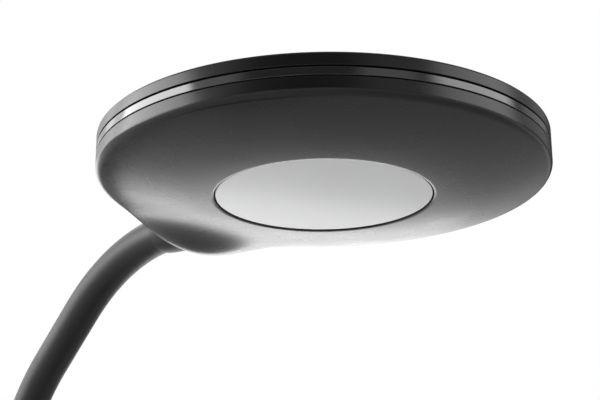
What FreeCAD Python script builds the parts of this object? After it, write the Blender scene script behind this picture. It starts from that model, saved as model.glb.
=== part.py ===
import FreeCAD, Part

import math
import os

import Sketcher
from FreeCAD import Placement, Rotation, Vector

# Piano lamp: a flat round lamp head on a sleeved gooseneck that stands on a weighted round base.
# Millimetres. +Z is up, the origin is the centre of the base's underside, the neck bends in the
# plane x = 0, and the head reaches forward, towards -Y.

doc = FreeCAD.newDocument("PianoLamp")

# ---------------------------------------------------------------------------------------------
# Driving dimensions: alias, value in mm (or degrees), meaning
# ---------------------------------------------------------------------------------------------
DIMENSIONS = [
    # lamp head, heights counted from the rim plane, which is the lower edge of the rim wall
    ("rim_radius", 85, "outer radius of the lamp head"),
    ("shell_band", 4.6, "height of the bottom shell's band of the rim"),
    ("ring_band", 3.3, "height of the clear ring"),
    ("cover_band", 4.6, "height of the top cover's band of the rim"),
    ("shell_wall", 2, "wall of the cover and the shell"),
    ("lip_wall", 1.2, "wall of the lip that centres ring and cover on the shell"),
    ("lip_rise", 1.2, "how far the lip stands up into the cover"),
    ("part_gap", 0.1, "radial clearance of pieces that are fitted together"),
    ("top_round", 1.2, "rounding of the cover's upper edge"),
    ("dome_depth", 8.9, "depth of the underside's flat middle below the rim plane"),
    ("dome_flat_radius", 34, "radius inside which the underside would be level"),
    ("rim_drop", 2, "depth of the underside where it meets the rim wall, before rounding"),
    ("rim_round", 2.6, "rounding between the underside and the rim wall"),
    ("fairing_depth", 8.3, "swelling of the underside below the neck, at its deepest"),
    ("fairing_edge_depth", 7, "swelling of the underside where it meets the rim wall"),
    ("fairing_length", 47, "length of the swelling, inwards from the rim wall"),
    ("fairing_peak_setback", 2.2, "swelling's deepest place, inwards from the rim wall"),
    ("fairing_half_width", 48, "half the swelling's width across the neck"),
    ("surface_step", 4.5, "spacing of the heights that the underside passes through"),
    # light unit
    ("lens_radius", 40.6, "opal lens"),
    ("lens_thickness", 2, "opal lens"),
    ("lens_gap", 0.5, "radial gap round the lens"),
    ("lens_recess", 0.85, "how far the lens lies inside its hole"),
    ("gasket_thickness", 0.5, "foam ring behind the lens"),
    ("flange_thickness", 2, "shell's inner flange that carries the lens"),
    ("flange_width", 9.1, "shell's inner flange, inwards from the lens's edge"),
    ("reflector_wall", 1.7, "white ring round the light sources"),
    ("board_margin", 1.9, "metal-core board beyond the lens's edge"),
    ("board_thickness", 1.6, "metal-core board"),
    ("board_underside", 3.3, "height of the board's lower face above the rim plane"),
    ("spreader_margin", 5.5, "aluminium heat spreader beyond the board's edge"),
    ("spreader_thickness", 2.5, "aluminium heat spreader"),
    ("chip_size", 3, "light source, length and width"),
    ("chip_height", 0.8, "light source"),
    ("outer_chip_circle", 20, "radius of the outer ring of light sources"),
    ("inner_chip_circle", 10, "radius of the inner ring of light sources"),
    # fasteners of the head
    ("boss_setback", 4.1, "the four shell screws inside the lens's edge"),
    ("boss_radius", 3.4, "bosses for the shell screws"),
    ("boss_gap", 0.3, "clearance round the bosses in board and spreader"),
    ("short_boss_margin", 2.7, "the three spreader screws beyond the board's edge"),
    ("short_boss_radius", 3, "bosses for the spreader screws"),
    ("small_screw_radius", 1, "small self-tapping screws"),
    ("small_head_radius", 2.4, "small screws"),
    ("small_head_height", 1.5, "small screws"),
    ("small_screw_reach", 6, "depth of thread in a boss"),
    ("small_drive_depth", 0.6, "driver recess of the small screws"),
    ("screw_gap", 0.2, "radial clearance of a screw in a through hole"),
    # neck's fixing in the head
    ("neck_axis_height", 1.6, "neck's axis above the rim plane"),
    ("neck_lead_in", 17, "straight length of neck beyond the rim"),
    ("collar_length", 19, "collar, from the rim to its mouth"),
    ("collar_radius", 10.3, "collar, at the rim"),
    ("collar_mouth_radius", 8.7, "collar, at its mouth"),
    ("collar_nose", 8, "length over which the collar narrows to its mouth"),
    ("collar_nose_radius", 10, "collar, where its nose begins"),
    ("collar_tip", 2.7, "steep last part of the collar's nose"),
    ("collar_tip_radius", 9.5, "collar, where its tip begins"),
    ("spigot_radius", 8.3, "part of the collar inside the rim wall"),
    ("bracket_setback", 7, "bracket's outer face, inwards from the rim"),
    ("bracket_depth", 12, "bracket, along the neck"),
    ("bracket_width", 28, "bracket, across the neck"),
    ("bracket_drop", 6.8, "bracket below the neck's axis"),
    ("bracket_pad", 3, "thickening of the cover above the bracket"),
    ("bracket_screw_offset", 10, "bracket screws, from the neck's axis"),
    # gooseneck
    ("sleeve_radius", 7.9, "silicone sleeve"),
    ("sleeve_bore", 5.6, "silicone sleeve, inner radius"),
    ("core_radius", 5.5, "wound steel core"),
    ("core_bore", 1.8, "wound steel core, inner radius"),
    ("lead_radius", 1.5, "two-core lead"),
    ("pocket_depth", 6, "depth to which the sleeve enters collar and ferrule"),
    ("core_reach", 6, "how much further than the sleeve the core reaches"),
    ("ball_step", 0.05, "radial step between the sleeve and the ball of a bend"),
    ("socket_gap", 0.35, "clearance between the ball and the socket of a bend"),
    ("droop", 39.2, "neck's slope behind the head, degrees below level"),
    ("upper_bend_radius", 97, "neck's bend behind the head"),
    ("slope_run", 32, "straight sloping run of the neck"),
    ("lower_bend_radius", 90, "neck's bend above the upright"),
    ("upright_run", 232, "upright run of the neck above the base"),
    ("fitting_radius", 5, "threaded end fittings of the neck"),
    ("fitting_reach", 7, "how far the upper fitting stands out of the bracket"),
    ("nut_width", 14, "lock nuts, across flats"),
    ("nut_thickness", 5, "lock nuts"),
    # base
    ("base_radius", 85, "base"),
    ("base_height", 24, "base, pad to lid"),
    ("base_wall", 2.5, "side wall of the base cover"),
    ("base_lid", 2.5, "lid of the base cover"),
    ("base_round", 4, "rounding of the base cover's upper edge"),
    ("skirt_lift", 3, "gap under the cover's side wall"),
    ("pad_setback", 3, "non-slip pad inside the floor plate's edge"),
    ("pad_thickness", 2, "non-slip pad"),
    ("plate_gap", 1.5, "steel floor plate inside the cover's side wall"),
    ("plate_thickness", 2, "steel floor plate"),
    ("weight_gap", 6.5, "steel weight inside the cover's side wall"),
    ("weight_thickness", 9, "steel weight"),
    ("slot_width", 34, "slot in the weight for the works"),
    ("slot_end_wall", 7, "what is left of the weight in front of the slot"),
    ("base_boss_setback", 10, "base screws inside the weight's edge"),
    ("base_boss_radius", 4, "bosses for the base screws"),
    ("base_boss_gap", 0.5, "clearance round the bosses in the weight"),
    ("base_screw_radius", 1.5, "base screws"),
    ("base_screw_head", 3, "base screws, head radius"),
    ("base_screw_reach", 9, "depth of thread in a base boss"),
    ("base_drive_depth", 1, "driver recess of the base screws"),
    ("foot_offset", 45, "neck's foot behind the base's axis"),
    ("foot_boss_radius", 14, "thickening of the lid under the neck's foot"),
    ("foot_boss_depth", 3.5, "thickening of the lid under the neck's foot"),
    ("washer_radius", 10, "washer under the neck's foot"),
    ("washer_thickness", 1.5, "washer under the neck's foot"),
    ("lower_fitting_end", 10.5, "height of the lower fitting's open end"),
    ("ferrule_height", 14, "turned ring at the neck's foot"),
    ("ferrule_radius", 13, "turned ring, at the lid"),
    ("ferrule_top_radius", 9.4, "turned ring, at its top"),
    ("ferrule_foot", 3, "height of the ring's straight foot"),
    ("ferrule_waist", 7, "height at which the ring is hollowed most"),
    ("ferrule_waist_radius", 10.4, "turned ring, at its waist"),
    # switch and supply
    ("button_radius", 8, "push button"),
    ("button_gap", 0.3, "clearance round the button"),
    ("button_rise", 0.8, "how far the button stands proud of the lid"),
    ("button_round", 0.4, "rounding of the button's upper edge"),
    ("button_flange", 1.6, "how far the button's flange reaches under the lid"),
    ("flange_height", 1.4, "button's flange"),
    ("stem_radius", 2.5, "button's stem"),
    ("stem_gap", 1.4, "stem's height above the switch at rest"),
    ("circuit_width", 26, "circuit board in the base"),
    ("circuit_length", 40, "circuit board in the base"),
    ("circuit_thickness", 1.6, "circuit board in the base"),
    ("circuit_gap", 1, "circuit board behind the slot's closed end"),
    ("stud_height", 1, "raised studs of the floor plate under the circuit board"),
    ("stud_radius", 2.2, "raised studs of the floor plate under the circuit board"),
    ("switch_size", 14, "switch, length and width"),
    ("switch_height", 5, "switch"),
    ("dome_foot_radius", 6.4, "button's silicone return dome, at the switch"),
    ("dome_top_radius", 3.9, "return dome, at the button's flange"),
    ("dome_wall", 0.9, "return dome"),
    ("inlet_height", 12, "height of the inlet's axis"),
    ("inlet_width", 10, "inlet body"),
    ("inlet_depth", 14, "inlet body, along its axis"),
    ("nozzle_radius", 4.6, "inlet's round nozzle in the cover wall"),
    ("inlet_bore", 2.9, "inlet's bore radius"),
    ("bore_depth", 10, "inlet's bore depth"),
    ("pin_radius", 1, "inlet's centre pin"),
    ("pin_setback", 1.5, "centre pin's tip inside the inlet's mouth"),
    ("thin_lead_radius", 1.2, "lead between the inlet and the circuit board"),
    # parts on the circuit board and the leads' routes
    ("board_edge", 1, "bare edge of the circuit board beside its parts"),
    ("inductor_radius", 4, "coil on the circuit board"),
    ("inductor_height", 5, "coil on the circuit board"),
    ("capacitor_radius", 3, "capacitor on the circuit board"),
    ("capacitor_height", 7, "capacitor on the circuit board"),
    ("driver_length", 6, "driver chip on the circuit board"),
    ("driver_width", 5, "driver chip on the circuit board"),
    ("driver_height", 1.2, "driver chip on the circuit board"),
    ("lead_exit", 5, "straight run of a lead out of a fitting or the inlet"),
    ("lead_turn", 14, "run of a lead between its turns in the base"),
    ("lead_climb", 7, "distance before the circuit board at which a lead has risen to it"),
    ("lead_overlap", 3, "how far a lead's end lies over its board"),
    ("neck_lead_side", 5, "neck's lead beside the middle of the circuit board"),
    ("inlet_lead_side", 2, "inlet's lead beside the middle of the circuit board and the inlet"),
    ("inlet_lead_bow", 13, "inlet's lead beside the neck's foot"),
]
BENDS = 8  # bending joints along the gooseneck
OUTER_CHIPS = 12
INNER_CHIPS = 6
SPREADER_SCREW_ANGLES = (30, 150, 270)
SHELL_SCREW_ANGLES = (45, 135, 225, 315)
LEAD_BEND_SHARE = 0.45  # share of the shorter run that a lead's bend takes up
CLOSE = 0.001  # lengths that are nearer than this are the same

sheet = doc.addObject("Spreadsheet::Sheet", "dims")
for row, (alias, value, meaning) in enumerate(DIMENSIONS, start=1):
    sheet.set(f"A{row}", meaning)
    sheet.set(f"B{row}", str(value))
    sheet.setAlias(f"B{row}", alias)
doc.recompute()

# Heights and places that several pieces share, as formulas over the sheet
RING_BASE = "dims.shell_band"
COVER_BASE = f"({RING_BASE} + dims.ring_band)"
RIM_TOP = f"({COVER_BASE} + dims.cover_band)"
LID_UNDERSIDE = f"({RIM_TOP} - dims.shell_wall)"
INNER_RADIUS = "(dims.rim_radius - dims.shell_wall)"
LIP_RADIUS = f"({INNER_RADIUS} - dims.part_gap)"
LIP_BORE = f"({INNER_RADIUS} - dims.lip_wall)"
LENS_HOLE = "(dims.lens_radius + dims.lens_gap)"
LENS_FACE = "(dims.lens_recess - dims.dome_depth)"
LENS_BACK = f"({LENS_FACE} + dims.lens_thickness)"
FLANGE_SEAT = f"({LENS_BACK} + dims.gasket_thickness)"
FLANGE_TOP = f"({FLANGE_SEAT} + dims.flange_thickness)"
APERTURE = "(dims.lens_radius - dims.flange_width)"
BOSS_CIRCLE = "(dims.lens_radius - dims.boss_setback)"
BOARD_RADIUS = "(dims.lens_radius + dims.board_margin)"
SHORT_BOSS_CIRCLE = f"({BOARD_RADIUS} + dims.short_boss_margin)"
SPREADER_RADIUS = f"({BOARD_RADIUS} + dims.spreader_margin)"
SPREADER_BASE = "(dims.board_underside + dims.board_thickness)"
SPREADER_TOP = f"({SPREADER_BASE} + dims.spreader_thickness)"
BRACKET_TOP = f"({LID_UNDERSIDE} - dims.bracket_pad)"
BRACKET_BASE = "(dims.neck_axis_height - dims.bracket_drop)"
BRACKET_OUTER = "(dims.rim_radius - dims.bracket_setback)"
BRACKET_INNER = f"({BRACKET_OUTER} - dims.bracket_depth)"
BRACKET_MIDDLE = f"({BRACKET_OUTER} - dims.bracket_depth / 2)"
FITTING_HOLE = "(dims.fitting_radius + dims.part_gap)"
UPPER_FITTING_END = f"({BRACKET_INNER} - dims.fitting_reach)"
COLLAR_MOUTH = "(dims.rim_radius + dims.collar_length)"
SLEEVE_END = f"({COLLAR_MOUTH} - dims.pocket_depth)"
CORE_END = f"({SLEEVE_END} - dims.core_reach)"
POCKET_RADIUS = "(dims.sleeve_radius + dims.part_gap)"
CORE_HOLE = "(dims.core_radius + dims.part_gap)"
HEAD_Y = (
    "(dims.foot_offset - dims.rim_radius - dims.neck_lead_in"
    " - dims.upper_bend_radius * sin(dims.droop) - dims.slope_run * cos(dims.droop)"
    " - dims.lower_bend_radius * (1 - sin(dims.droop)))"
)
HEAD_Z = (
    "(dims.base_height + dims.upright_run + dims.lower_bend_radius * cos(dims.droop)"
    " + dims.slope_run * sin(dims.droop) + dims.upper_bend_radius * (1 - cos(dims.droop))"
    " - dims.neck_axis_height)"
)
BASE_INNER = "(dims.base_radius - dims.base_wall)"
PLATE_RADIUS = f"({BASE_INNER} - dims.plate_gap)"
WEIGHT_RADIUS = f"({BASE_INNER} - dims.weight_gap)"
BASE_BOSS_CIRCLE = f"({WEIGHT_RADIUS} - dims.base_boss_setback)"
SLOT_FRONT = f"({WEIGHT_RADIUS} - dims.slot_end_wall)"
BUTTON_OFFSET = f"({SLOT_FRONT} - dims.circuit_gap - dims.circuit_length / 2)"
PLATE_TOP = "(dims.pad_thickness + dims.plate_thickness)"
BASE_LID_UNDERSIDE = "(dims.base_height - dims.base_lid)"
FOOT_BOSS_BASE = f"({BASE_LID_UNDERSIDE} - dims.foot_boss_depth)"
WASHER_BASE = f"({FOOT_BOSS_BASE} - dims.washer_thickness)"
LOWER_NUT_BASE = f"({WASHER_BASE} - dims.nut_thickness)"
LOWER_SLEEVE_END = "(dims.base_height + dims.ferrule_height - dims.pocket_depth)"
LOWER_CORE_END = f"({LOWER_SLEEVE_END} - dims.core_reach + dims.part_gap)"
CIRCUIT_BASE = f"({PLATE_TOP} + dims.stud_height)"
CIRCUIT_TOP = f"({CIRCUIT_BASE} + dims.circuit_thickness)"
SWITCH_TOP = f"({CIRCUIT_TOP} + dims.switch_height)"
BUTTON_HOLE = "(dims.button_radius + dims.button_gap)"
FLANGE_UPPER = f"({BASE_LID_UNDERSIDE} - dims.button_gap)"
FLANGE_LOWER = f"({FLANGE_UPPER} - dims.flange_height)"
INLET_INNER = (
    f"(sqrt({BASE_INNER} ^ 2 - (dims.inlet_width / 2) ^ 2) - dims.part_gap - dims.inlet_depth)"
)

ALONG_Y = Rotation(Vector(1, 0, 0), -90)  # turns an axis that points up to point along +Y

nodes = []


def worked_out(formula):
    """The number that a formula over the sheet gives."""
    return float(sheet.evalExpression(formula))


def put(part, at, rotation=None):
    """Binds a part's place to three formulas."""
    if rotation is not None:
        part.Placement = Placement(Vector(), rotation)
    for axis, formula in zip("xyz", at):
        part.setExpression(f"Placement.Base.{axis}", formula)
    return part


def cylinder(name, radius, height, at=("0", "0", "0"), rotation=None):
    part = doc.addObject("Part::Cylinder", name)
    part.setExpression("Radius", radius)
    part.setExpression("Height", height)
    return put(part, at, rotation)


def block(name, length, width, height, at):
    part = doc.addObject("Part::Box", name)
    part.setExpression("Length", length)
    part.setExpression("Width", width)
    part.setExpression("Height", height)
    return put(part, at)


def cone(name, lower_radius, upper_radius, height, at=("0", "0", "0")):
    part = doc.addObject("Part::Cone", name)
    part.setExpression("Radius1", lower_radius)
    part.setExpression("Radius2", upper_radius)
    part.setExpression("Height", height)
    return put(part, at)


def joined(name, *parts):
    whole = doc.addObject("Part::MultiFuse", name)
    whole.Shapes = list(parts)
    return whole


def cut_from(name, base, *tools):
    remainder = doc.addObject("Part::Cut", name)
    remainder.Base = base
    remainder.Tool = tools[0] if len(tools) == 1 else joined(name + "_tools", *tools)
    return remainder


def turned(name, outline, at=("0", "0", "0"), rotation=None):
    """A turned piece: a sketch of (radius, height) corners, each bound to its formulas, revolved."""
    body = doc.addObject("PartDesign::Body", name)
    sketch = body.newObject("Sketcher::SketchObject", name + "_outline")
    plane = next(f for f in body.Origin.OriginFeatures if f.Role == "XZ_Plane")
    sketch.AttachmentSupport = [(plane, "")]
    sketch.MapMode = "FlatFace"
    corners = [Vector(worked_out(radius), worked_out(height), 0) for radius, height in outline]
    count = len(corners)
    for index in range(count):
        sketch.addGeometry(Part.LineSegment(corners[index], corners[(index + 1) % count]))
    for index in range(count):
        sketch.addConstraint(Sketcher.Constraint("Coincident", index, 2, (index + 1) % count, 1))
    for index, formulas in enumerate(outline):
        for kind, formula in zip(("DistanceX", "DistanceY"), formulas):
            number = worked_out(formula)
            datum = sketch.addConstraint(Sketcher.Constraint(kind, -1, 1, index, 1, number))
            sketch.setExpression(f"Constraints[{datum}]", formula)
    revolution = body.newObject("PartDesign::Revolution", name + "_revolution")
    revolution.Profile = sketch
    revolution.ReferenceAxis = (sketch, ["V_Axis"])
    revolution.Angle = 360
    return put(body, at, rotation)


def circle_edges(shape, radius, height):
    """Names of the full circles of a radius at a height round the Z axis."""
    found = []
    for index, edge in enumerate(shape.Edges, start=1):
        curve = edge.Curve
        if not isinstance(curve, Part.Circle) or not edge.isClosed():
            continue
        if abs(curve.Radius - radius) < CLOSE and abs(curve.Center.z - height) < CLOSE:
            found.append(f"Edge{index}")
    return found


def round_edge(body, radius, height, size):
    """Adds a fillet to a turned body's circular edge."""
    doc.recompute()
    base = body.Tip
    fillet = body.newObject("PartDesign::Fillet", body.Name + "_round")
    fillet.Base = (base, circle_edges(base.Shape, worked_out(radius), worked_out(height)))
    fillet.setExpression("Radius", size)
    return body


def in_head(part):
    """Moves a piece that was built round the head's axis and rim plane to the head's place."""
    part.setExpression("Placement.Base.y", HEAD_Y)
    part.setExpression("Placement.Base.z", HEAD_Z)
    return part


def node(label, part):
    part.Label = label
    nodes.append(part)


def shaped(label, shape):
    """A sub-part whose shape is set directly."""
    part = doc.addObject("Part::Feature", label)
    part.Shape = shape
    node(label, part)
    return part


def on_circle(radius, angle):
    """Formulas of a point on a circle round the Z axis."""
    return f"{radius} * cos({angle})", f"{radius} * sin({angle})"


# ---------------------------------------------------------------------------------------------
# Head: top cover, ring
# ---------------------------------------------------------------------------------------------
def make_top_cover():
    blank = turned(
        "cover_blank",
        [
            ("0", LID_UNDERSIDE),
            (INNER_RADIUS, LID_UNDERSIDE),
            (INNER_RADIUS, COVER_BASE),
            ("dims.rim_radius", COVER_BASE),
            ("dims.rim_radius", RIM_TOP),
            ("0", RIM_TOP),
        ],
    )
    round_edge(blank, "dims.rim_radius", RIM_TOP, "dims.top_round")
    solid = [blank]
    holes = []
    for angle in SHELL_SCREW_ANGLES:
        x, y = on_circle(BOSS_CIRCLE, angle)
        height = f"{LID_UNDERSIDE} - {FLANGE_TOP} + dims.part_gap"
        solid.append(cylinder("long_boss", "dims.boss_radius", height, (x, y, FLANGE_TOP)))
        holes.append(
            cylinder("pilot", "dims.small_screw_radius", "dims.small_screw_reach", (x, y, FLANGE_TOP))
        )
    for angle in SPREADER_SCREW_ANGLES:
        x, y = on_circle(SHORT_BOSS_CIRCLE, angle)
        height = f"{LID_UNDERSIDE} - {SPREADER_TOP} + dims.part_gap"
        solid.append(cylinder("short_boss", "dims.short_boss_radius", height, (x, y, SPREADER_TOP)))
        reach = f"{LID_UNDERSIDE} - {SPREADER_TOP}"
        holes.append(cylinder("pilot", "dims.small_screw_radius", reach, (x, y, SPREADER_TOP)))
    pad_at = ("-dims.bracket_width / 2", BRACKET_INNER, BRACKET_TOP)
    pad_height = "dims.bracket_pad + dims.part_gap"
    solid.append(block("bracket_pad", "dims.bracket_width", "dims.bracket_depth", pad_height, pad_at))
    for side in (-1, 1):
        at = (f"{side} * dims.bracket_screw_offset", BRACKET_MIDDLE, BRACKET_TOP)
        holes.append(cylinder("pilot", "dims.small_screw_radius", "dims.bracket_pad", at))
    holes.append(neck_hole("cover_neck_hole"))
    node("head_top_cover", in_head(cut_from("head_top_cover", joined("cover_solid", *solid), *holes)))


def neck_hole(name):
    """The hole through the rim wall that the collar's spigot fills."""
    radius = "dims.spigot_radius + dims.part_gap"
    at = ("0", BRACKET_OUTER, "dims.neck_axis_height")
    return cylinder(name, radius, f"dims.rim_radius - {BRACKET_OUTER} + dims.rim_round", at, ALONG_Y)


def make_ring():
    blank = turned(
        "ring_blank",
        [
            (INNER_RADIUS, RING_BASE),
            ("dims.rim_radius", RING_BASE),
            ("dims.rim_radius", COVER_BASE),
            (INNER_RADIUS, COVER_BASE),
        ],
    )
    node("head_ring", in_head(cut_from("head_ring", blank, neck_hole("ring_neck_hole"))))


# ---------------------------------------------------------------------------------------------
# Head: bottom shell. Its underside is a shallow dome with a swelling below the neck, a smooth
# surface through heights that two formulas give, so it is made with Part's own functions.
# ---------------------------------------------------------------------------------------------
def dome_height(radius):
    """Height of the plain dome: level inside the flat radius, then rising as a parabola."""
    flat = worked_out("dims.dome_flat_radius")
    depth = worked_out("dims.dome_depth")
    rise = (depth - worked_out("dims.rim_drop")) / (worked_out("dims.rim_radius") - flat) ** 2
    return rise * max(radius - flat, 0) ** 2 - depth


def swelling(across, along):
    """Depth of the fairing: a bell across the neck, a slow start and a level peak along it."""
    half_width = worked_out("dims.fairing_half_width")
    start = worked_out("dims.rim_radius - dims.fairing_length")
    peak = worked_out("dims.rim_radius - dims.fairing_peak_setback")
    if along <= start or abs(across) >= half_width:
        return 0
    bell = math.cos(math.pi * across / (2 * half_width)) ** 2
    depth = worked_out("dims.fairing_depth")
    if along <= peak:
        share = ((along - start) / (peak - start)) ** 4
        return depth * bell * share * (2 - share)
    share = (along - peak) / (worked_out("dims.rim_radius") - peak)
    return bell * (depth + (worked_out("dims.fairing_edge_depth") - depth) * share**2)


def underside_block(lift, top):
    """Everything between the underside, lifted by a wall's thickness, and a level plane."""
    step = worked_out("dims.surface_step")
    reach = worked_out("dims.rim_radius") + step
    count = 2 * math.ceil(reach / step) + 1
    ticks = [reach * (2 * index / (count - 1) - 1) for index in range(count)]
    heights = [
        [Vector(x, y, dome_height(math.hypot(x, y)) - swelling(x, y) + lift) for y in ticks]
        for x in ticks
    ]
    surface = Part.BSplineSurface()
    surface.interpolate(heights)
    tall = surface.toShape().extrude(Vector(0, 0, reach))
    lid = Part.makeBox(2 * reach, 2 * reach, 2 * reach, Vector(-reach, -reach, top))
    return tall.cut(lid)


def round_bar(radius, low, high, at=Vector(0, 0, 0)):
    return Part.makeCylinder(radius, high - low, at + Vector(0, 0, low))


def make_bottom_shell():
    rim = worked_out("dims.rim_radius")
    wall = worked_out("dims.shell_wall")
    band = worked_out(RING_BASE)
    deep = 2 * worked_out("dims.dome_depth") + worked_out("dims.fairing_depth")
    hole = worked_out(LENS_HOLE)
    seat = worked_out(FLANGE_SEAT)
    flange_top = worked_out(FLANGE_TOP)
    outside = underside_block(0, band).common(round_bar(rim, -deep, band))
    right_half = outside.common(Part.makeBox(rim, 2 * rim, 2 * deep, Vector(0, -rim, -deep)))
    lower_edge = [
        edge
        for edge in right_half.Edges
        if abs(edge.valueAt(edge.FirstParameter).sub(edge.valueAt(edge.LastParameter)).y) > rim
        and edge.BoundBox.XLength > rim / 2
        and edge.BoundBox.ZMax < band - worked_out("dims.rim_round")
    ]
    right_half = right_half.makeFillet(worked_out("dims.rim_round"), lower_edge)
    outside = right_half.fuse(right_half.mirror(Vector(), Vector(1, 0, 0)))
    lip_bore = worked_out(LIP_BORE)
    inside = underside_block(wall, 2 * band).common(round_bar(lip_bore, -deep, 2 * band))
    inside = inside.cut(round_bar(hole + wall, -deep, flange_top))
    lip_top = worked_out(f"{COVER_BASE} + dims.lip_rise")
    lip = round_bar(worked_out(LIP_RADIUS), band, lip_top).cut(round_bar(lip_bore, band, lip_top))
    shell = outside.cut(inside).fuse(lip)
    shell = shell.cut(round_bar(worked_out(APERTURE), -deep, lip_top))
    shell = shell.cut(round_bar(hole, -deep, seat))
    screw = worked_out("dims.small_screw_radius + dims.screw_gap")
    head = worked_out("dims.small_head_radius + dims.screw_gap")
    height = worked_out("dims.small_head_height")
    for angle in SHELL_SCREW_ANGLES:
        turn = math.radians(angle)
        circle = worked_out(BOSS_CIRCLE)
        at = Vector(circle * math.cos(turn), circle * math.sin(turn), seat)
        shell = shell.cut(round_bar(screw, 0, flange_top - seat, at))
        shell = shell.cut(Part.makeCone(head, screw, height, at))
    spigot = worked_out("dims.spigot_radius + dims.part_gap")
    start = Vector(0, worked_out(BRACKET_OUTER), worked_out("dims.neck_axis_height"))
    shell = shell.cut(Part.makeCylinder(spigot, rim, start, Vector(0, 1, 0)))
    part = shaped("head_bottom_shell", shell.removeSplitter())
    in_head(part)


# ---------------------------------------------------------------------------------------------
# Head: light unit
# ---------------------------------------------------------------------------------------------
def disc(name, radius, low, high, bore=None):
    """A plain disc or, with a bore, a washer."""
    inner = bore or "0"
    return turned(name, [(inner, low), (radius, low), (radius, high), (inner, high)])


def make_light_unit():
    node("lens_diffuser", in_head(disc("lens_diffuser", "dims.lens_radius", LENS_FACE, LENS_BACK)))

    gasket = disc(
        "gasket_blank",
        "dims.lens_radius",
        LENS_BACK,
        FLANGE_SEAT,
        f"{BOSS_CIRCLE} + dims.small_head_radius + dims.screw_gap",
    )
    node("lens_gasket", in_head(gasket))

    outer = f"{APERTURE} - dims.part_gap"
    reflector = disc(
        "reflector_ring",
        outer,
        f"{LENS_BACK} + dims.part_gap",
        "dims.board_underside",
        f"{outer} - dims.reflector_wall",
    )
    node("reflector_ring", in_head(reflector))

    board = disc("board_blank", BOARD_RADIUS, "dims.board_underside", SPREADER_BASE)
    spreader = disc("spreader_blank", SPREADER_RADIUS, SPREADER_BASE, SPREADER_TOP)
    gap = "dims.boss_radius + dims.boss_gap"
    for label, blank, low, height in (
        ("led_board", board, "dims.board_underside", "dims.board_thickness"),
        ("heat_spreader", spreader, SPREADER_BASE, "dims.spreader_thickness"),
    ):
        holes = [
            cylinder("boss_hole", gap, height, (*on_circle(BOSS_CIRCLE, angle), low))
            for angle in SHELL_SCREW_ANGLES
        ]
        if label == "heat_spreader":
            radius = "dims.small_screw_radius + dims.screw_gap"
            for angle in SPREADER_SCREW_ANGLES:
                at = (*on_circle(SHORT_BOSS_CIRCLE, angle), low)
                holes.append(cylinder("screw_hole", radius, height, at))
        node(label, in_head(cut_from(label, blank, *holes)))

    chips = []
    circles = (("dims.outer_chip_circle", OUTER_CHIPS), ("dims.inner_chip_circle", INNER_CHIPS))
    for circle, count in circles:
        for index in range(count):
            x, y = on_circle(circle, 360 * index / count)
            corner = (
                f"{x} - dims.chip_size / 2",
                f"{y} - dims.chip_size / 2",
                "dims.board_underside - dims.chip_height",
            )
            chips.append(block("chip", "dims.chip_size", "dims.chip_size", "dims.chip_height", corner))
    node("led_chips", in_head(joined("led_chips", *chips)))


# ---------------------------------------------------------------------------------------------
# Head: screws
# ---------------------------------------------------------------------------------------------
def small_screw(at_x, at_y, seat, through):
    """A screw that points up: its head lies under the seat, its thread ends in a boss."""
    head_base = f"{seat} - dims.small_head_height"
    head = cylinder("screw_head", "dims.small_head_radius", "dims.small_head_height",
                    (at_x, at_y, head_base))
    slot = cylinder("screw_drive", "dims.small_screw_radius", "dims.small_drive_depth",
                    (at_x, at_y, head_base))
    shank = cylinder("screw_shank", "dims.small_screw_radius", through, (at_x, at_y, seat))
    return joined("screw", cut_from("driven_head", head, slot), shank)


def make_head_screws():
    spreader_through = "dims.spreader_thickness + dims.small_screw_reach / 2"
    screws = [
        small_screw(*on_circle(SHORT_BOSS_CIRCLE, angle), SPREADER_BASE, spreader_through)
        for angle in SPREADER_SCREW_ANGLES
    ]
    node("spreader_screws", in_head(joined("spreader_screws", *screws)))

    countersunk = []
    for angle in SHELL_SCREW_ANGLES:
        x, y = on_circle(BOSS_CIRCLE, angle)
        at = (x, y, FLANGE_SEAT)
        head = cone("screw_cone", "dims.small_head_radius", "dims.small_screw_radius",
                    "dims.small_head_height", at)
        reach = "dims.flange_thickness + dims.small_screw_reach - dims.small_screw_radius"
        shank = cylinder("screw_shank", "dims.small_screw_radius", reach, at)
        drive = cylinder("screw_drive", "dims.small_screw_radius", "dims.small_drive_depth", at)
        countersunk.append(cut_from("shell_screw", joined("driven_screw", head, shank), drive))
    node("shell_screws", in_head(joined("shell_screws", *countersunk)))

    seat = f"({BRACKET_BASE} + dims.small_head_height)"
    through = f"{BRACKET_TOP} - {seat} + dims.bracket_pad - dims.part_gap"
    screws = [
        small_screw(f"{side} * dims.bracket_screw_offset", BRACKET_MIDDLE, seat, through)
        for side in (-1, 1)
    ]
    node("bracket_screws", in_head(joined("bracket_screws", *screws)))


# ---------------------------------------------------------------------------------------------
# Head: the neck's fixing
# ---------------------------------------------------------------------------------------------
def make_neck_bracket():
    body = block(
        "bracket_block",
        "dims.bracket_width",
        "dims.bracket_depth",
        f"{BRACKET_TOP} - {BRACKET_BASE}",
        ("-dims.bracket_width / 2", BRACKET_INNER, BRACKET_BASE),
    )
    at = ("0", BRACKET_INNER, "dims.neck_axis_height")
    holes = [cylinder("fitting_hole", FITTING_HOLE, "dims.bracket_depth", at, ALONG_Y)]
    height = f"{BRACKET_TOP} - {BRACKET_BASE}"
    for side in (-1, 1):
        at = (f"{side} * dims.bracket_screw_offset", BRACKET_MIDDLE, BRACKET_BASE)
        radius = "dims.small_screw_radius + dims.screw_gap"
        holes.append(cylinder("screw_hole", radius, height, at))
        radius = "dims.small_head_radius + dims.screw_gap"
        holes.append(cylinder("head_hole", radius, "dims.small_head_height", at))
    node("neck_bracket", in_head(cut_from("neck_bracket", body, *holes)))


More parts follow.
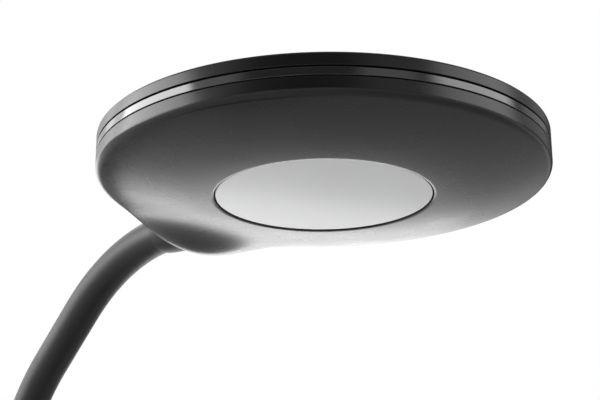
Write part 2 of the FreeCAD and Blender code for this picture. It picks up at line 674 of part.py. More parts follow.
def hex_nut(name, at, rotation):
    """A nut whose flats lie across the neck bracket, with its hole a close fit on the fitting."""
    prism = doc.addObject("Part::Prism", name + "_prism")
    prism.Polygon = 6
    prism.setExpression("Circumradius", "dims.nut_width / sqrt(3)")
    prism.setExpression("Height", "dims.nut_thickness")
    put(prism, at, rotation)
    hole = cylinder(name + "_hole", FITTING_HOLE, "dims.nut_thickness", at, rotation)
    return cut_from(name, prism, hole)


def make_upper_fixing():
    low = "dims.neck_axis_height"
    fitting = turned(
        "upper_end_fitting",
        [
            ("dims.core_bore", "0"),
            ("dims.fitting_radius", "0"),
            ("dims.fitting_radius", f"{CORE_END} - {UPPER_FITTING_END} - dims.part_gap"),
            ("dims.core_bore", f"{CORE_END} - {UPPER_FITTING_END} - dims.part_gap"),
        ],
    )
    put(fitting, ("0", f"{HEAD_Y} + {UPPER_FITTING_END}", f"{HEAD_Z} + {low}"), ALONG_Y)
    node("upper_end_fitting", fitting)

    at = ("0", f"{BRACKET_INNER} - dims.nut_thickness", low)
    node("upper_lock_nut", in_head(hex_nut("upper_lock_nut", at, ALONG_Y)))

    # collar: a spigot in the rim wall, a bulge outside it and a nose that narrows to the sleeve
    shoulder = "(dims.rim_radius - dims.lip_wall)"
    blank = turned(
        "collar_blank",
        [
            (FITTING_HOLE, BRACKET_OUTER),
            ("dims.spigot_radius", BRACKET_OUTER),
            ("dims.spigot_radius", shoulder),
            ("dims.collar_radius", shoulder),
            ("dims.collar_nose_radius", f"{COLLAR_MOUTH} - dims.collar_nose"),
            ("dims.collar_tip_radius", f"{COLLAR_MOUTH} - dims.collar_tip"),
            ("dims.collar_mouth_radius", COLLAR_MOUTH),
            (POCKET_RADIUS, COLLAR_MOUTH),
            (POCKET_RADIUS, SLEEVE_END),
            (CORE_HOLE, SLEEVE_END),
            (CORE_HOLE, CORE_END),
            (FITTING_HOLE, CORE_END),
        ],
        ("0", "0", low),
        ALONG_Y,
    )
    outside = cylinder("rim_gauge", "dims.rim_radius + dims.part_gap", "4 * dims.collar_radius",
                       ("0", "0", "-2 * dims.collar_radius"))
    spigot = cylinder("spigot_gauge", "dims.spigot_radius", "dims.rim_radius",
                      ("0", "0", low), ALONG_Y)
    node("neck_collar", in_head(cut_from("neck_collar", blank, cut_from("rim_trim", outside, spigot))))


# ---------------------------------------------------------------------------------------------
# Gooseneck: one line from the foot to the head, cut into segments that meet in ball bends
# ---------------------------------------------------------------------------------------------
def neck_legs():
    """The neck's line from the lid of the base up: (length, bend radius or None)."""
    droop = math.radians(worked_out("dims.droop"))
    lower = worked_out("dims.lower_bend_radius")
    upper = worked_out("dims.upper_bend_radius")
    return [
        (worked_out("dims.upright_run"), None),
        (lower * (math.pi / 2 - droop), lower),
        (worked_out("dims.slope_run"), None),
        (upper * droop, upper),
        (worked_out(f"dims.rim_radius + dims.neck_lead_in - {UPPER_FITTING_END}"), None),
    ]


def neck_point(length):
    """Place and heading of the neck's line at a length from the base's lid."""
    place = Vector(0, worked_out("dims.foot_offset"), worked_out("dims.base_height"))
    heading = Vector(0, 0, 1)
    if length < 0:
        return place + heading * length, heading
    for leg, radius in neck_legs():
        step = min(length, leg)
        if radius is None:
            place = place + heading * step
        else:
            turn = Rotation(Vector(1, 0, 0), math.degrees(step / radius))
            centre = place + Vector(0, -heading.z, heading.y) * radius
            place = centre + turn.multVec(place - centre)
            heading = turn.multVec(heading)
        length -= step
        if length <= 0:
            break
    return place, heading


def neck_rod(start, end, radius):
    """A round rod along the neck's line between two lengths."""
    borders = [start]
    passed = 0
    for leg, _ in neck_legs():
        passed += leg
        if start + CLOSE < passed < end - CLOSE:
            borders.append(passed)
    borders.append(end)
    edges = []
    for low, high in zip(borders, borders[1:]):
        first, middle, last = (neck_point(v)[0] for v in (low, (low + high) / 2, high))
        bulge = (middle - (first + last) * 0.5).Length
        line = Part.LineSegment(first, last) if bulge < CLOSE else Part.Arc(first, middle, last)
        edges.append(line.toShape())
    place, heading = neck_point(start)
    profile = Part.Wire([Part.makeCircle(radius, place, heading)])
    return Part.Wire(edges).makePipeShell([profile], True, False)


def flexible_span():
    """Lengths along the neck where the flexible part leaves the ferrule and enters the collar."""
    whole = sum(leg for leg, _ in neck_legs())
    return worked_out("dims.ferrule_height"), whole - worked_out(f"{COLLAR_MOUTH} - {UPPER_FITTING_END}")


def bend_lengths():
    """Lengths along the neck at which the bending joints lie, evenly spaced."""
    low, high = flexible_span()
    pitch = (high - low) / BENDS
    return [low + pitch * (index + 0.5) for index in range(BENDS)]


def neck_segment(start, end, outer, inner, is_first, is_last):
    """One segment: a ball at its lower end and a socket for the next segment's ball."""
    ball = worked_out("dims.sleeve_radius - dims.ball_step")
    reach = 0 if is_first else 1.5 * ball
    solid = neck_rod(start - reach, end, outer)
    if not is_first:
        # a ball end is the rod less all that lies below the bend and outside the ball
        waste = neck_rod(start - 2 * ball, start, 2 * outer)
        solid = solid.cut(waste.cut(Part.makeSphere(ball, neck_point(start)[0])))
    if not is_last:
        socket = ball + worked_out("dims.socket_gap")
        solid = solid.cut(Part.makeSphere(socket, neck_point(end)[0]))
    if inner:
        solid = solid.cut(neck_rod(start - reach, end, inner))
    return solid


def make_gooseneck():
    bends = bend_lengths()
    whole = sum(leg for leg, _ in neck_legs())
    base = worked_out("dims.base_height")
    low_ends = {
        "sleeve": worked_out(LOWER_SLEEVE_END) - base,
        "core": worked_out(LOWER_CORE_END) - base,
        "lead": worked_out("dims.lower_fitting_end") - base,
    }
    high_ends = {
        "sleeve": whole - worked_out(f"{SLEEVE_END} - {UPPER_FITTING_END}"),
        "core": whole - worked_out(f"{CORE_END} - {UPPER_FITTING_END}"),
        "lead": whole,
    }
    radii = {
        "sleeve": ("dims.sleeve_radius", "dims.sleeve_bore"),
        "core": ("dims.core_radius", "dims.core_bore"),
        "lead": ("dims.lead_radius", None),
    }
    for layer, (outer, inner) in radii.items():
        stops = [low_ends[layer], *bends, high_ends[layer]]
        for index, (start, end) in enumerate(zip(stops, stops[1:])):
            segment = neck_segment(
                start,
                end,
                worked_out(outer),
                worked_out(inner) if inner else 0,
                index == 0,
                index == BENDS,
            )
            shaped(f"neck_{layer}_{index + 1}", segment)


# ---------------------------------------------------------------------------------------------
# Base: the neck's fixing
# ---------------------------------------------------------------------------------------------
def make_lower_fixing():
    foot = ("0", "dims.foot_offset", "0")
    top = "dims.base_height + dims.ferrule_height"
    ferrule = turned(
        "base_ferrule",
        [
            (CORE_HOLE, "dims.base_height"),
            ("dims.ferrule_radius", "dims.base_height"),
            ("dims.ferrule_radius", "dims.base_height + dims.ferrule_foot"),
            ("dims.ferrule_waist_radius", "dims.base_height + dims.ferrule_waist"),
            ("dims.ferrule_top_radius", top),
            (POCKET_RADIUS, top),
            (POCKET_RADIUS, LOWER_SLEEVE_END),
            (CORE_HOLE, LOWER_SLEEVE_END),
        ],
        foot,
    )
    node("base_ferrule", ferrule)

    upper = f"{LOWER_CORE_END} - dims.part_gap"
    fitting = turned(
        "lower_end_fitting",
        [
            ("dims.core_bore", "dims.lower_fitting_end"),
            ("dims.fitting_radius", "dims.lower_fitting_end"),
            ("dims.fitting_radius", upper),
            ("dims.core_bore", upper),
        ],
        foot,
    )
    node("lower_end_fitting", fitting)

    washer = turned(
        "lower_washer",
        [
            (FITTING_HOLE, WASHER_BASE),
            ("dims.washer_radius", WASHER_BASE),
            ("dims.washer_radius", FOOT_BOSS_BASE),
            (FITTING_HOLE, FOOT_BOSS_BASE),
        ],
        foot,
    )
    node("lower_washer", washer)

    nut = hex_nut("lower_lock_nut", ("0", "dims.foot_offset", LOWER_NUT_BASE), Rotation())
    node("lower_lock_nut", nut)


# ---------------------------------------------------------------------------------------------
# Base: cover, weight, plate, pad, screws
# ---------------------------------------------------------------------------------------------
def base_screw_places():
    return [on_circle(BASE_BOSS_CIRCLE, angle) for angle in SHELL_SCREW_ANGLES]


def make_base_housing():
    blank = turned(
        "base_cover_blank",
        [
            ("0", BASE_LID_UNDERSIDE),
            (BASE_INNER, BASE_LID_UNDERSIDE),
            (BASE_INNER, "dims.skirt_lift"),
            ("dims.base_radius", "dims.skirt_lift"),
            ("dims.base_radius", "dims.base_height"),
            ("0", "dims.base_height"),
        ],
    )
    round_edge(blank, "dims.base_radius", "dims.base_height", "dims.base_round")
    solid = [blank]
    holes = []
    boss_height = f"{BASE_LID_UNDERSIDE} - {PLATE_TOP} + dims.part_gap"
    for x, y in base_screw_places():
        solid.append(cylinder("base_boss", "dims.base_boss_radius", boss_height, (x, y, PLATE_TOP)))
        holes.append(
            cylinder("base_pilot", "dims.base_screw_radius", "dims.base_screw_reach", (x, y, PLATE_TOP))
        )
    foot = ("0", "dims.foot_offset", FOOT_BOSS_BASE)
    solid.append(
        cylinder("foot_boss", "dims.foot_boss_radius", "dims.foot_boss_depth + dims.part_gap", foot)
    )
    holes.append(cylinder("foot_hole", FITTING_HOLE, f"dims.base_height - {FOOT_BOSS_BASE}", foot))
    button = ("0", f"-{BUTTON_OFFSET}", BASE_LID_UNDERSIDE)
    holes.append(cylinder("button_hole", BUTTON_HOLE, "dims.base_lid", button))
    wall_hole = ("0", f"{BASE_INNER} - dims.base_wall", "dims.inlet_height")
    radius = "dims.nozzle_radius + dims.part_gap"
    holes.append(cylinder("inlet_hole", radius, "3 * dims.base_wall", wall_hole, ALONG_Y))
    node("base_cover", cut_from("base_cover", joined("base_cover_solid", *solid), *holes))

    weight = cylinder("weight_disc", WEIGHT_RADIUS, "dims.weight_thickness", ("0", "0", PLATE_TOP))
    slot = block(
        "weight_slot",
        "dims.slot_width",
        f"{SLOT_FRONT} + {WEIGHT_RADIUS}",
        "dims.weight_thickness",
        ("-dims.slot_width / 2", f"-{SLOT_FRONT}", PLATE_TOP),
    )
    radius = "dims.base_boss_radius + dims.base_boss_gap"
    reliefs = [
        cylinder("boss_relief", radius, "dims.weight_thickness", (x, y, PLATE_TOP))
        for x, y in base_screw_places()
    ]
    node("base_weight", cut_from("base_weight", weight, slot, *reliefs))

    plate = cylinder("plate_disc", PLATE_RADIUS, "dims.plate_thickness",
                     ("0", "0", "dims.pad_thickness"))
    studs = [
        cylinder("stud", "dims.stud_radius", "dims.stud_height", (x, y, PLATE_TOP))
        for x, y in circuit_corners()
    ]
    sinks = [
        cone("plate_sink", "dims.base_screw_head", "dims.base_screw_radius", "dims.plate_thickness",
             (x, y, "dims.pad_thickness"))
        for x, y in base_screw_places()
    ]
    node("base_plate", cut_from("base_plate", joined("plate_solid", plate, *studs), *sinks))

    pad_radius = f"{PLATE_RADIUS} - dims.pad_setback"
    node("base_pad", cylinder("base_pad", pad_radius, "dims.pad_thickness"))

    screws = []
    for x, y in base_screw_places():
        at = (x, y, "dims.pad_thickness")
        head = cone("base_screw_cone", "dims.base_screw_head", "dims.base_screw_radius",
                    "dims.plate_thickness", at)
        reach = "dims.plate_thickness + dims.base_screw_reach - dims.base_screw_radius"
        shank = cylinder("base_screw_shank", "dims.base_screw_radius", reach, at)
        drive = cylinder("base_screw_drive", "dims.base_screw_radius", "dims.base_drive_depth", at)
        screws.append(cut_from("base_screw", joined("base_screw_solid", head, shank), drive))
    node("base_screws", joined("base_screws", *screws))


# ---------------------------------------------------------------------------------------------
# Base: button, switch, circuit board, inlet, leads
# ---------------------------------------------------------------------------------------------
def circuit_corners():
    """Formulas of the four studs under the circuit board."""
    inset = "dims.stud_radius"
    return [
        (f"{side} * (dims.circuit_width / 2 - {inset})",
         f"{end} * (dims.circuit_length / 2 - {inset}) - {BUTTON_OFFSET}")
        for side in (-1, 1)
        for end in (-1, 1)
    ]


def make_button():
    stem_foot = f"({SWITCH_TOP} + dims.stem_gap)"
    top = "dims.base_height + dims.button_rise"
    cap = turned(
        "button_cap",
        [
            ("0", stem_foot),
            ("dims.stem_radius", stem_foot),
            ("dims.stem_radius", FLANGE_LOWER),
            ("dims.button_radius + dims.button_flange", FLANGE_LOWER),
            ("dims.button_radius + dims.button_flange", FLANGE_UPPER),
            ("dims.button_radius", FLANGE_UPPER),
            ("dims.button_radius", top),
            ("0", top),
        ],
        ("0", f"-{BUTTON_OFFSET}", "0"),
    )
    round_edge(cap, "dims.button_radius", top, "dims.button_round")
    node("button_cap", cap)

    dome = turned(
        "return_dome",
        [
            ("dims.dome_foot_radius - dims.dome_wall", SWITCH_TOP),
            ("dims.dome_foot_radius", SWITCH_TOP),
            ("dims.dome_top_radius", FLANGE_LOWER),
            ("dims.dome_top_radius - dims.dome_wall", FLANGE_LOWER),
        ],
        ("0", f"-{BUTTON_OFFSET}", "0"),
    )
    node("return_dome", dome)


def make_circuit():
    front = f"-{BUTTON_OFFSET} - dims.circuit_length / 2"
    board = block("dimmer_board", "dims.circuit_width", "dims.circuit_length", "dims.circuit_thickness",
                  ("-dims.circuit_width / 2", front, CIRCUIT_BASE))
    node("dimmer_board", board)

    at = ("-dims.switch_size / 2", f"-{BUTTON_OFFSET} - dims.switch_size / 2", CIRCUIT_TOP)
    node("switch_body", block("switch_body", "dims.switch_size", "dims.switch_size",
                              "dims.switch_height", at))

    side = "(dims.circuit_width / 2 - dims.board_edge)"
    end = "(dims.circuit_length / 2 - dims.board_edge)"
    at = (
        f"dims.inductor_radius - {side}",
        f"{end} - dims.inductor_radius - {BUTTON_OFFSET}",
        CIRCUIT_TOP,
    )
    inductor = cylinder("inductor", "dims.inductor_radius", "dims.inductor_height", at)
    at = (
        f"{side} - dims.capacitor_radius",
        f"dims.capacitor_radius - {end} - {BUTTON_OFFSET}",
        CIRCUIT_TOP,
    )
    capacitor = cylinder("capacitor", "dims.capacitor_radius", "dims.capacitor_height", at)
    at = (f"-{side}", f"-{end} - {BUTTON_OFFSET}", CIRCUIT_TOP)
    driver = block("driver_chip", "dims.driver_width", "dims.driver_length", "dims.driver_height", at)
    node("board_parts", joined("board_parts", inductor, capacitor, driver))


def make_inlet():
    mouth = "dims.base_radius"
    body = block(
        "inlet_block",
        "dims.inlet_width",
        "dims.inlet_depth",
        "dims.inlet_width",
        ("-dims.inlet_width / 2", INLET_INNER, "dims.inlet_height - dims.inlet_width / 2"),
    )
    axis = ("0", INLET_INNER, "dims.inlet_height")
    nozzle = cylinder("inlet_nozzle", "dims.nozzle_radius", f"{mouth} - {INLET_INNER}", axis, ALONG_Y)
    bore = cylinder("inlet_hollow", "dims.inlet_bore", "dims.bore_depth",
                    ("0", f"{mouth} - dims.bore_depth", "dims.inlet_height"), ALONG_Y)
    hollow = cut_from("inlet_socket", joined("inlet_solid", body, nozzle), bore)
    reach = f"{mouth} - dims.pin_setback - {INLET_INNER}"
    pin = cylinder("inlet_pin", "dims.pin_radius", reach, axis, ALONG_Y)
    node("dc_inlet", joined("dc_inlet", hollow, pin))


def lead_through(points, radius):
    """A lead along straight runs joined by tangent arcs, each as large as its runs allow."""
    corners = [Vector(*point) for point in points]
    edges = []
    last = corners[0]
    for before, corner, after in zip(corners, corners[1:], corners[2:]):
        back = before - corner
        ahead = after - corner
        setback = LEAD_BEND_SHARE * min(back.Length, ahead.Length)
        back.normalize()
        ahead.normalize()
        first = corner + back * setback
        final = corner + ahead * setback
        half = back.getAngle(ahead) / 2
        inward = (back + ahead).normalize()
        middle = corner + inward * (setback / math.cos(half) - setback * math.tan(half))
        edges.append(Part.LineSegment(last, first).toShape())
        edges.append(Part.Arc(first, middle, final).toShape())
        last = final
    edges.append(Part.LineSegment(last, corners[-1]).toShape())
    profile = Part.Wire([Part.makeCircle(radius, corners[0], corners[1] - corners[0])])
    return Part.Wire(edges).makePipeShell([profile], True, False)


def make_leads():
    lead = worked_out("dims.lead_radius")
    thin = worked_out("dims.thin_lead_radius")
    gap = worked_out("dims.part_gap")
    leave = worked_out("dims.lead_exit")
    overlap = worked_out("dims.lead_overlap")

    axis = worked_out("dims.neck_axis_height")
    start = worked_out(UPPER_FITTING_END)
    end = worked_out(BOARD_RADIUS) - overlap
    in_head(shaped("head_lead", lead_through([(0, start, axis), (0, end, axis)], lead)))

    turn = worked_out("dims.lead_turn")
    foot = worked_out("dims.foot_offset")
    fitting_end = worked_out("dims.lower_fitting_end")
    floor = worked_out(PLATE_TOP) + lead + gap
    above_board = worked_out(CIRCUIT_TOP) + lead + gap
    board_back = worked_out(f"dims.circuit_length / 2 - {BUTTON_OFFSET}")
    risen = board_back + worked_out("dims.lead_climb")
    side = worked_out("dims.neck_lead_side")
    to_neck = lead_through(
        [
            (0, foot, fitting_end),
            (0, foot, floor),
            (0, foot - turn, floor),
            (side, foot - 3 * turn, floor),
            (side, risen, above_board),
            (side, board_back - overlap, above_board),
        ],
        lead,
    )
    inlet_end = worked_out(INLET_INNER)
    side = worked_out("dims.inlet_lead_side")
    bow = worked_out("dims.inlet_lead_bow")
    level = worked_out("dims.inlet_height") - side
    above_board = worked_out(CIRCUIT_TOP) + thin + gap
    to_inlet = lead_through(
        [
            (-side, inlet_end, level),
            (-side, inlet_end - leave, level),
            (-bow, inlet_end - turn, level),
            (-bow, foot - turn, level),
            (-side, risen, above_board),
            (-side, board_back - overlap, above_board),
        ],
        thin,
    )
    shaped("base_leads", Part.makeCompound([to_neck, to_inlet]))


# ---------------------------------------------------------------------------------------------
# Build, check and write
# ---------------------------------------------------------------------------------------------
make_top_cover()
make_ring()
make_bottom_shell()
make_light_unit()
make_head_screws()
make_neck_bracket()
make_upper_fixing()
make_gooseneck()
make_lower_fixing()
make_base_housing()
make_button()
make_circuit()
make_inlet()
make_leads()
doc.recompute()

for thing in doc.Objects:
    if "Invalid" in thing.State or "Error" in thing.State:
        raise RuntimeError(f"{thing.Name} failed: {thing.State}")
for part in nodes:
    if part.Shape.isNull() or not part.Shape.isValid():
        raise RuntimeError(f"{part.Label} has no valid shape")

os.makedirs("parts", exist_ok=True)
for part in nodes:
    part.Shape.exportStep(os.path.join("parts", part.Label + ".step"))
    print(f"{part.Label}: {len(part.Shape.Solids)} solid(s), {part.Shape.Volume / 1000:.2f} cm3")
print(f"{len(nodes)} sub-parts")
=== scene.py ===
# %% [markdown]
# # A piano lamp, piece by piece
# This lesson dresses the solids of a small gooseneck lamp: a flat round head with an opal lens, a
# sleeved neck that bends, and a weighted base with a push button. The solids are loaded first, and
# every piece that is modelled here takes its place from them, so nothing has to be fitted by eye.

# %% Load the solids
import math

import bmesh
import bpy
from mathutils import Matrix, Vector


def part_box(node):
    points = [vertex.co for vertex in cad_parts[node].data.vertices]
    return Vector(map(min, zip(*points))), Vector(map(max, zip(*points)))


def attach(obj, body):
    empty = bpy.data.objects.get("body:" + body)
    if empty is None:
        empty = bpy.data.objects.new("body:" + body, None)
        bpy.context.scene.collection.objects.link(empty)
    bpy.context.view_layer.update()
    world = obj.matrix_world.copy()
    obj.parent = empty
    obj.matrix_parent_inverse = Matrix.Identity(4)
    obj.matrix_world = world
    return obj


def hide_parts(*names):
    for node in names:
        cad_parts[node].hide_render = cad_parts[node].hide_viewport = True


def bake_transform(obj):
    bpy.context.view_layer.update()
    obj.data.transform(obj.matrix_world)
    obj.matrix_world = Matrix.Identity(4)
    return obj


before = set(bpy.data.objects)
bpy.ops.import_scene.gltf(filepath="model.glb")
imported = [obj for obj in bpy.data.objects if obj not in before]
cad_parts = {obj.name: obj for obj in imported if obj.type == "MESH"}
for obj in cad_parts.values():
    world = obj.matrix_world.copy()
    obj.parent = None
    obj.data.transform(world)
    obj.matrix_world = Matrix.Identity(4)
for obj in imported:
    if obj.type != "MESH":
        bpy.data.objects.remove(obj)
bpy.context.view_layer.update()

# %% [markdown]
# The lamp's own measures are in millimetres and Blender's are in metres, so one factor turns the
# first into the second. Three places are read from the solids: the middle of the head at its rim
# plane, the neck's foot and the button.

# %% Places on the lamp
MM = 0.001
UP = Vector((0, 0, 1))
RING_BASE = 4.6  # from the rim plane up to the ring's room
shell_low, shell_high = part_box("head_bottom_shell")
ring_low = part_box("head_ring")[0]
foot_low, foot_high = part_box("base_ferrule")
cap_low, cap_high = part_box("button_cap")
HEAD = Vector((0, (shell_low.y + shell_high.y) / 2, ring_low.z - RING_BASE * MM))
FOOT = Vector((0, (foot_low.y + foot_high.y) / 2, 0))
BUTTON = Vector((0, (cap_low.y + cap_high.y) / 2, 0))
print("head", tuple(round(c, 4) for c in HEAD), "foot", tuple(round(c, 4) for c in FOOT))

# %% [markdown]
# Sizes that the solids show are read from their boxes, in millimetres. Those of the head are counted
# from its middle, and those of the base from the table. Two axes follow from them: the line on which
# the neck enters the head, and the inlet's.

# %% Sizes from the solids
def box_mm(node, origin=Vector()):
    """Lowest and highest corner of a solid's box, in mm from an origin."""
    return [[round(side / MM, 2) for side in corner - origin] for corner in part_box(node)]


(_, _, FLANGE_TOP), (RIM, _, COVER_TOP) = box_mm("head_top_cover", HEAD)
(_, _, LENS_FACE), (LENS, _, LENS_BACK) = box_mm("lens_diffuser", HEAD)
SPREADER_TOP = box_mm("heat_spreader", HEAD)[1][2]
bracket_low, bracket_high = box_mm("neck_bracket", HEAD)
collar_low, collar_high = box_mm("neck_collar", HEAD)
NECK = HEAD + UP * (collar_low[2] + collar_high[2]) / 2 * MM
(_, _, BASE_LOW), (BASE, _, LID) = box_mm("base_cover")
PAD, _, PAD_TOP = box_mm("base_pad")[1]
inlet_low, inlet_high = box_mm("dc_inlet")
INLET = UP * (inlet_low[2] + inlet_high[2]) / 2 * MM
print("radii in mm: rim", RIM, "lens", LENS, "base", BASE, "pad", PAD)

# %% [markdown]
# ## The camera
# The camera stands low in front of the lamp, to the left, and looks up at the underside of the
# head. It is built from three directions: where it looks, its right and its up. A long lens keeps
# the round head from looking stretched.

# %% Camera
SIDEWAYS = Vector((0.749, -0.6626, 0))  # level, to the camera's right
AWAY = Vector((0.6626, 0.749, 0))  # level, away from the camera
TO_HEAD = SIDEWAYS * 0.085 + AWAY * 6.056 + UP * 2.171  # from the camera, in radii of the rim
pan, tilt, roll = math.radians(-0.19), math.radians(18.78), math.radians(-0.43)
level_looks = SIDEWAYS * math.sin(pan) + AWAY * math.cos(pan)
looks = level_looks * math.cos(tilt) + UP * math.sin(tilt)
level_right = looks.cross(UP).normalized()
level_up = level_right.cross(looks)
right = level_right * math.cos(roll) + level_up * math.sin(roll)
above = level_up * math.cos(roll) - level_right * math.sin(roll)
bpy.ops.object.camera_add(location=HEAD - TO_HEAD * (RIM * MM))
camera = bpy.context.object
camera.rotation_euler = Matrix((right, above, -looks)).transposed().to_euler()
camera.data.sensor_width = 36
camera.data.lens = 87.34
camera.data.clip_start = 0.01
bpy.context.scene.camera = camera
bpy.context.scene.view_settings.view_transform = "Standard"
print("camera at", tuple(round(c, 3) for c in camera.location))

# %% [markdown]
# ## Building node trees
# A material or a world is a small graph of nodes. One helper adds a node with its settings and its
# unlinked values, and links whatever is a socket, so each finish below reads as a short recipe.

# %% Node helper
def add(tree, kind, settings=None, **values):
    """Add a node; a value that is a socket is linked, any other is set on the node's input."""
    node = tree.nodes.new(kind)
    for name, setting in (settings or {}).items():
        setattr(node, name, setting)
    for name, value in values.items():
        socket = node.inputs[int(name[1:])] if name[1:].isdigit() else node.inputs[name.replace("_", " ")]
        if isinstance(value, bpy.types.NodeSocket):
            tree.links.new(value, socket)
        else:
            socket.default_value = value
    return node


def ramp(tree, factor, *stops):
    """A colour ramp through (place, grey level) stops."""
    node = add(tree, "ShaderNodeValToRGB", Fac=factor)
    elements = node.color_ramp.elements
    while len(elements) < len(stops):
        elements.new(0.5)
    for element, (place, level) in zip(elements, stops):
        element.position = place
        element.color = (level, level, level, 1)
    return node.outputs["Color"]


def math_node(tree, operation, first, second=0.0, third=0.0):
    node = add(tree, "ShaderNodeMath", {"operation": operation}, _0=first, _1=second, _2=third)
    return node.outputs[0]


def smooth_step(tree, value, start, end, first=0.0, last=1.0):
    """The first level up to a start, the last level from an end on, and a smooth way between."""
    node = add(tree, "ShaderNodeMapRange", {"interpolation_type": "SMOOTHSTEP"}, Value=value,
               _1=start, _2=end, _3=first, _4=last)
    return node.outputs[0]


print("helpers for nodes are ready")

# %% [markdown]
# ## The studio
# Black plastic is seen by what it mirrors, so the studio matters as much as the paint. The world is
# a dim room with soft-edged panels: a broad bright one at the right, one high behind the lamp, the
# backdrop, and weaker ones that fill in between. Each panel is a box in two angles, its bearing
# round the lamp, counted from AWAY towards SIDEWAYS, and its height above the horizon. Straight
# sight of the world shows plain white.

# %% World
world = bpy.data.worlds.new("studio")
bpy.context.scene.world = world
world.use_nodes = True
tree = world.node_tree
tree.nodes.clear()
direction = add(tree, "ShaderNodeTexCoord").outputs["Generated"]


def part_along(axis):
    """How much of the direction of sight lies along an axis."""
    node = add(tree, "ShaderNodeVectorMath", {"operation": "DOT_PRODUCT"}, _0=direction, _1=axis)
    return node.outputs["Value"]


def soft_band(angle, middle, half, edge=13):
    """1 within `half` degrees of the middle, falling to 0 over the soft edge."""
    off = math_node(tree, "ABSOLUTE", math_node(tree, "SUBTRACT", angle, math.radians(middle)))
    return smooth_step(tree, off, math.radians(half), math.radians(half + edge), 1.0, 0.0)


bearing = math_node(tree, "ARCTAN2", part_along(SIDEWAYS), part_along(AWAY))
height = math_node(tree, "ARCSINE", part_along(UP))
PANELS = {  # name: (bearing, half width, height, half height) in degrees, and brightness
    "right": (100, 18, 20, 8, 2.7),
    "right, before the lamp": (148, 8, 20, 8, 0.5),
    "right, behind the lamp": (50, 10, 20, 8, 0.4),
    "left": (-55, 6, 20, 8, 2.2),
    "left, behind the lamp": (-36, 10, 20, 8, 1.0),
    "left, before the lamp": (-124, 8, 20, 8, 0.6),
    "high behind the lamp": (-22, 16, 42, 5, 3.3),
    "backdrop": (-14, 18, 3, 5, 2.4),
    "overhead": (0, 180, 80, 25, 0.45),
}
light = 0.05  # the dim room itself
for middle, half, tall, half_tall, level in PANELS.values():
    panel = math_node(tree, "MULTIPLY", soft_band(bearing, middle, half), soft_band(height, tall, half_tall))
    light = math_node(tree, "MULTIPLY_ADD", panel, level, light)
room = add(tree, "ShaderNodeBackground", Color=(1, 1, 1, 1), Strength=light).outputs[0]
white = add(tree, "ShaderNodeBackground", Color=(1, 1, 1, 1), Strength=1.0).outputs[0]
straight = add(tree, "ShaderNodeLightPath").outputs["Is Camera Ray"]
sky = add(tree, "ShaderNodeMixShader", _0=straight, _1=room, _2=white).outputs[0]
add(tree, "ShaderNodeOutputWorld", Surface=sky)
print("world nodes:", len(tree.nodes))

# %% [markdown]
# A large oval softbox at the left lights that side of the rim and the neck. Two glowing cards lie on
# the floor behind the lamp, where the head's underside and the lens mirror them.

# %% Softbox and cards
def softbox(name, bearing, distance, height, width, tall, brightness):
    """An oval lamp that faces the head; its bearing is counted from AWAY towards SIDEWAYS."""
    turn = math.radians(bearing)
    place = HEAD + (AWAY * math.cos(turn) + SIDEWAYS * math.sin(turn)) * distance
    place.z = height
    bpy.ops.object.light_add(type="AREA", location=place)
    lamp = bpy.context.object
    lamp.name = name
    lamp.rotation_euler = (HEAD - place).to_track_quat("-Z", "Y").to_euler()
    lamp.data.shape = "ELLIPSE"
    lamp.data.size, lamp.data.size_y = width, tall
    lamp.data.energy = brightness * math.pi * width * tall
    lamp.visible_camera = False
    return lamp


def card(name, bearing, distance, width, long, turn, brightness):
    """A glowing card that lies on the floor; its length is turned from AWAY towards SIDEWAYS."""
    lamp = softbox(name, bearing, distance, height=0.01, width=width, tall=long, brightness=brightness)
    lamp.rotation_euler = (math.pi, 0, math.atan2(AWAY.y, AWAY.x) - math.radians(90 + turn))
    return lamp


softbox("left_softbox", bearing=-90.5, distance=1.5, height=0.72, width=1.46, tall=1.12, brightness=4.9)
card("long_card", bearing=1, distance=2.3, width=0.75, long=2.5, turn=19, brightness=3.2)
small_card = card("small_card", bearing=0, distance=1.15, width=0.34, long=0.24, turn=-24, brightness=1.35)
small_card.data.shape = "RECTANGLE"

# %% [markdown]
# The floor is plain and pale. Near the lamp it takes light and shadow like any other surface.
# Further off it turns to an even white, sooner for the camera than for what is mirrored, and so it
# runs into the white background.

# %% Floor
bpy.ops.mesh.primitive_plane_add(size=12)
floor = bpy.context.object
floor.name = "floor"
paint = bpy.data.materials.new("pale floor")
paint.use_nodes = True
tree = paint.node_tree
tree.nodes.clear()
place = add(tree, "ShaderNodeTexCoord").outputs["Object"]
far = add(tree, "ShaderNodeVectorMath", {"operation": "LENGTH"}, _0=place).outputs["Value"]
seen = smooth_step(tree, far, 0.5, 1.6)
mirrored = smooth_step(tree, far, 0.9, 2.3)
speckle = add(tree, "ShaderNodeTexNoise", Vector=place, Scale=9.0, Detail=3.0).outputs["Fac"]
shade = ramp(tree, speckle, (0.3, 0.5), (0.7, 0.53))
matt = add(tree, "ShaderNodeBsdfPrincipled", Base_Color=shade, Roughness=0.9).outputs[0]
white = add(tree, "ShaderNodeEmission", Color=(1, 1, 1, 1), Strength=1.0).outputs[0]
sight = add(tree, "ShaderNodeLightPath")
share = math_node(tree, "MULTIPLY", seen, sight.outputs["Is Camera Ray"])
share = math_node(tree, "MULTIPLY_ADD", mirrored, sight.outputs["Is Glossy Ray"], share)
ground = add(tree, "ShaderNodeMixShader", _0=share, _1=matt, _2=white).outputs[0]
add(tree, "ShaderNodeOutputMaterial", Surface=ground)
floor.data.materials.append(paint)
print("floor side", floor.dimensions.x, "m")

# %% [markdown]
# ## Finishes
# Every finish is one Principled shader with a pattern of its own in colour, roughness and bump. The
# patterns are read at the lamp's real size, in metres, so a scale of 1500 gives grains of about two
# thirds of a millimetre. Moulded plastic is never quite even: its grain breaks up the gloss.

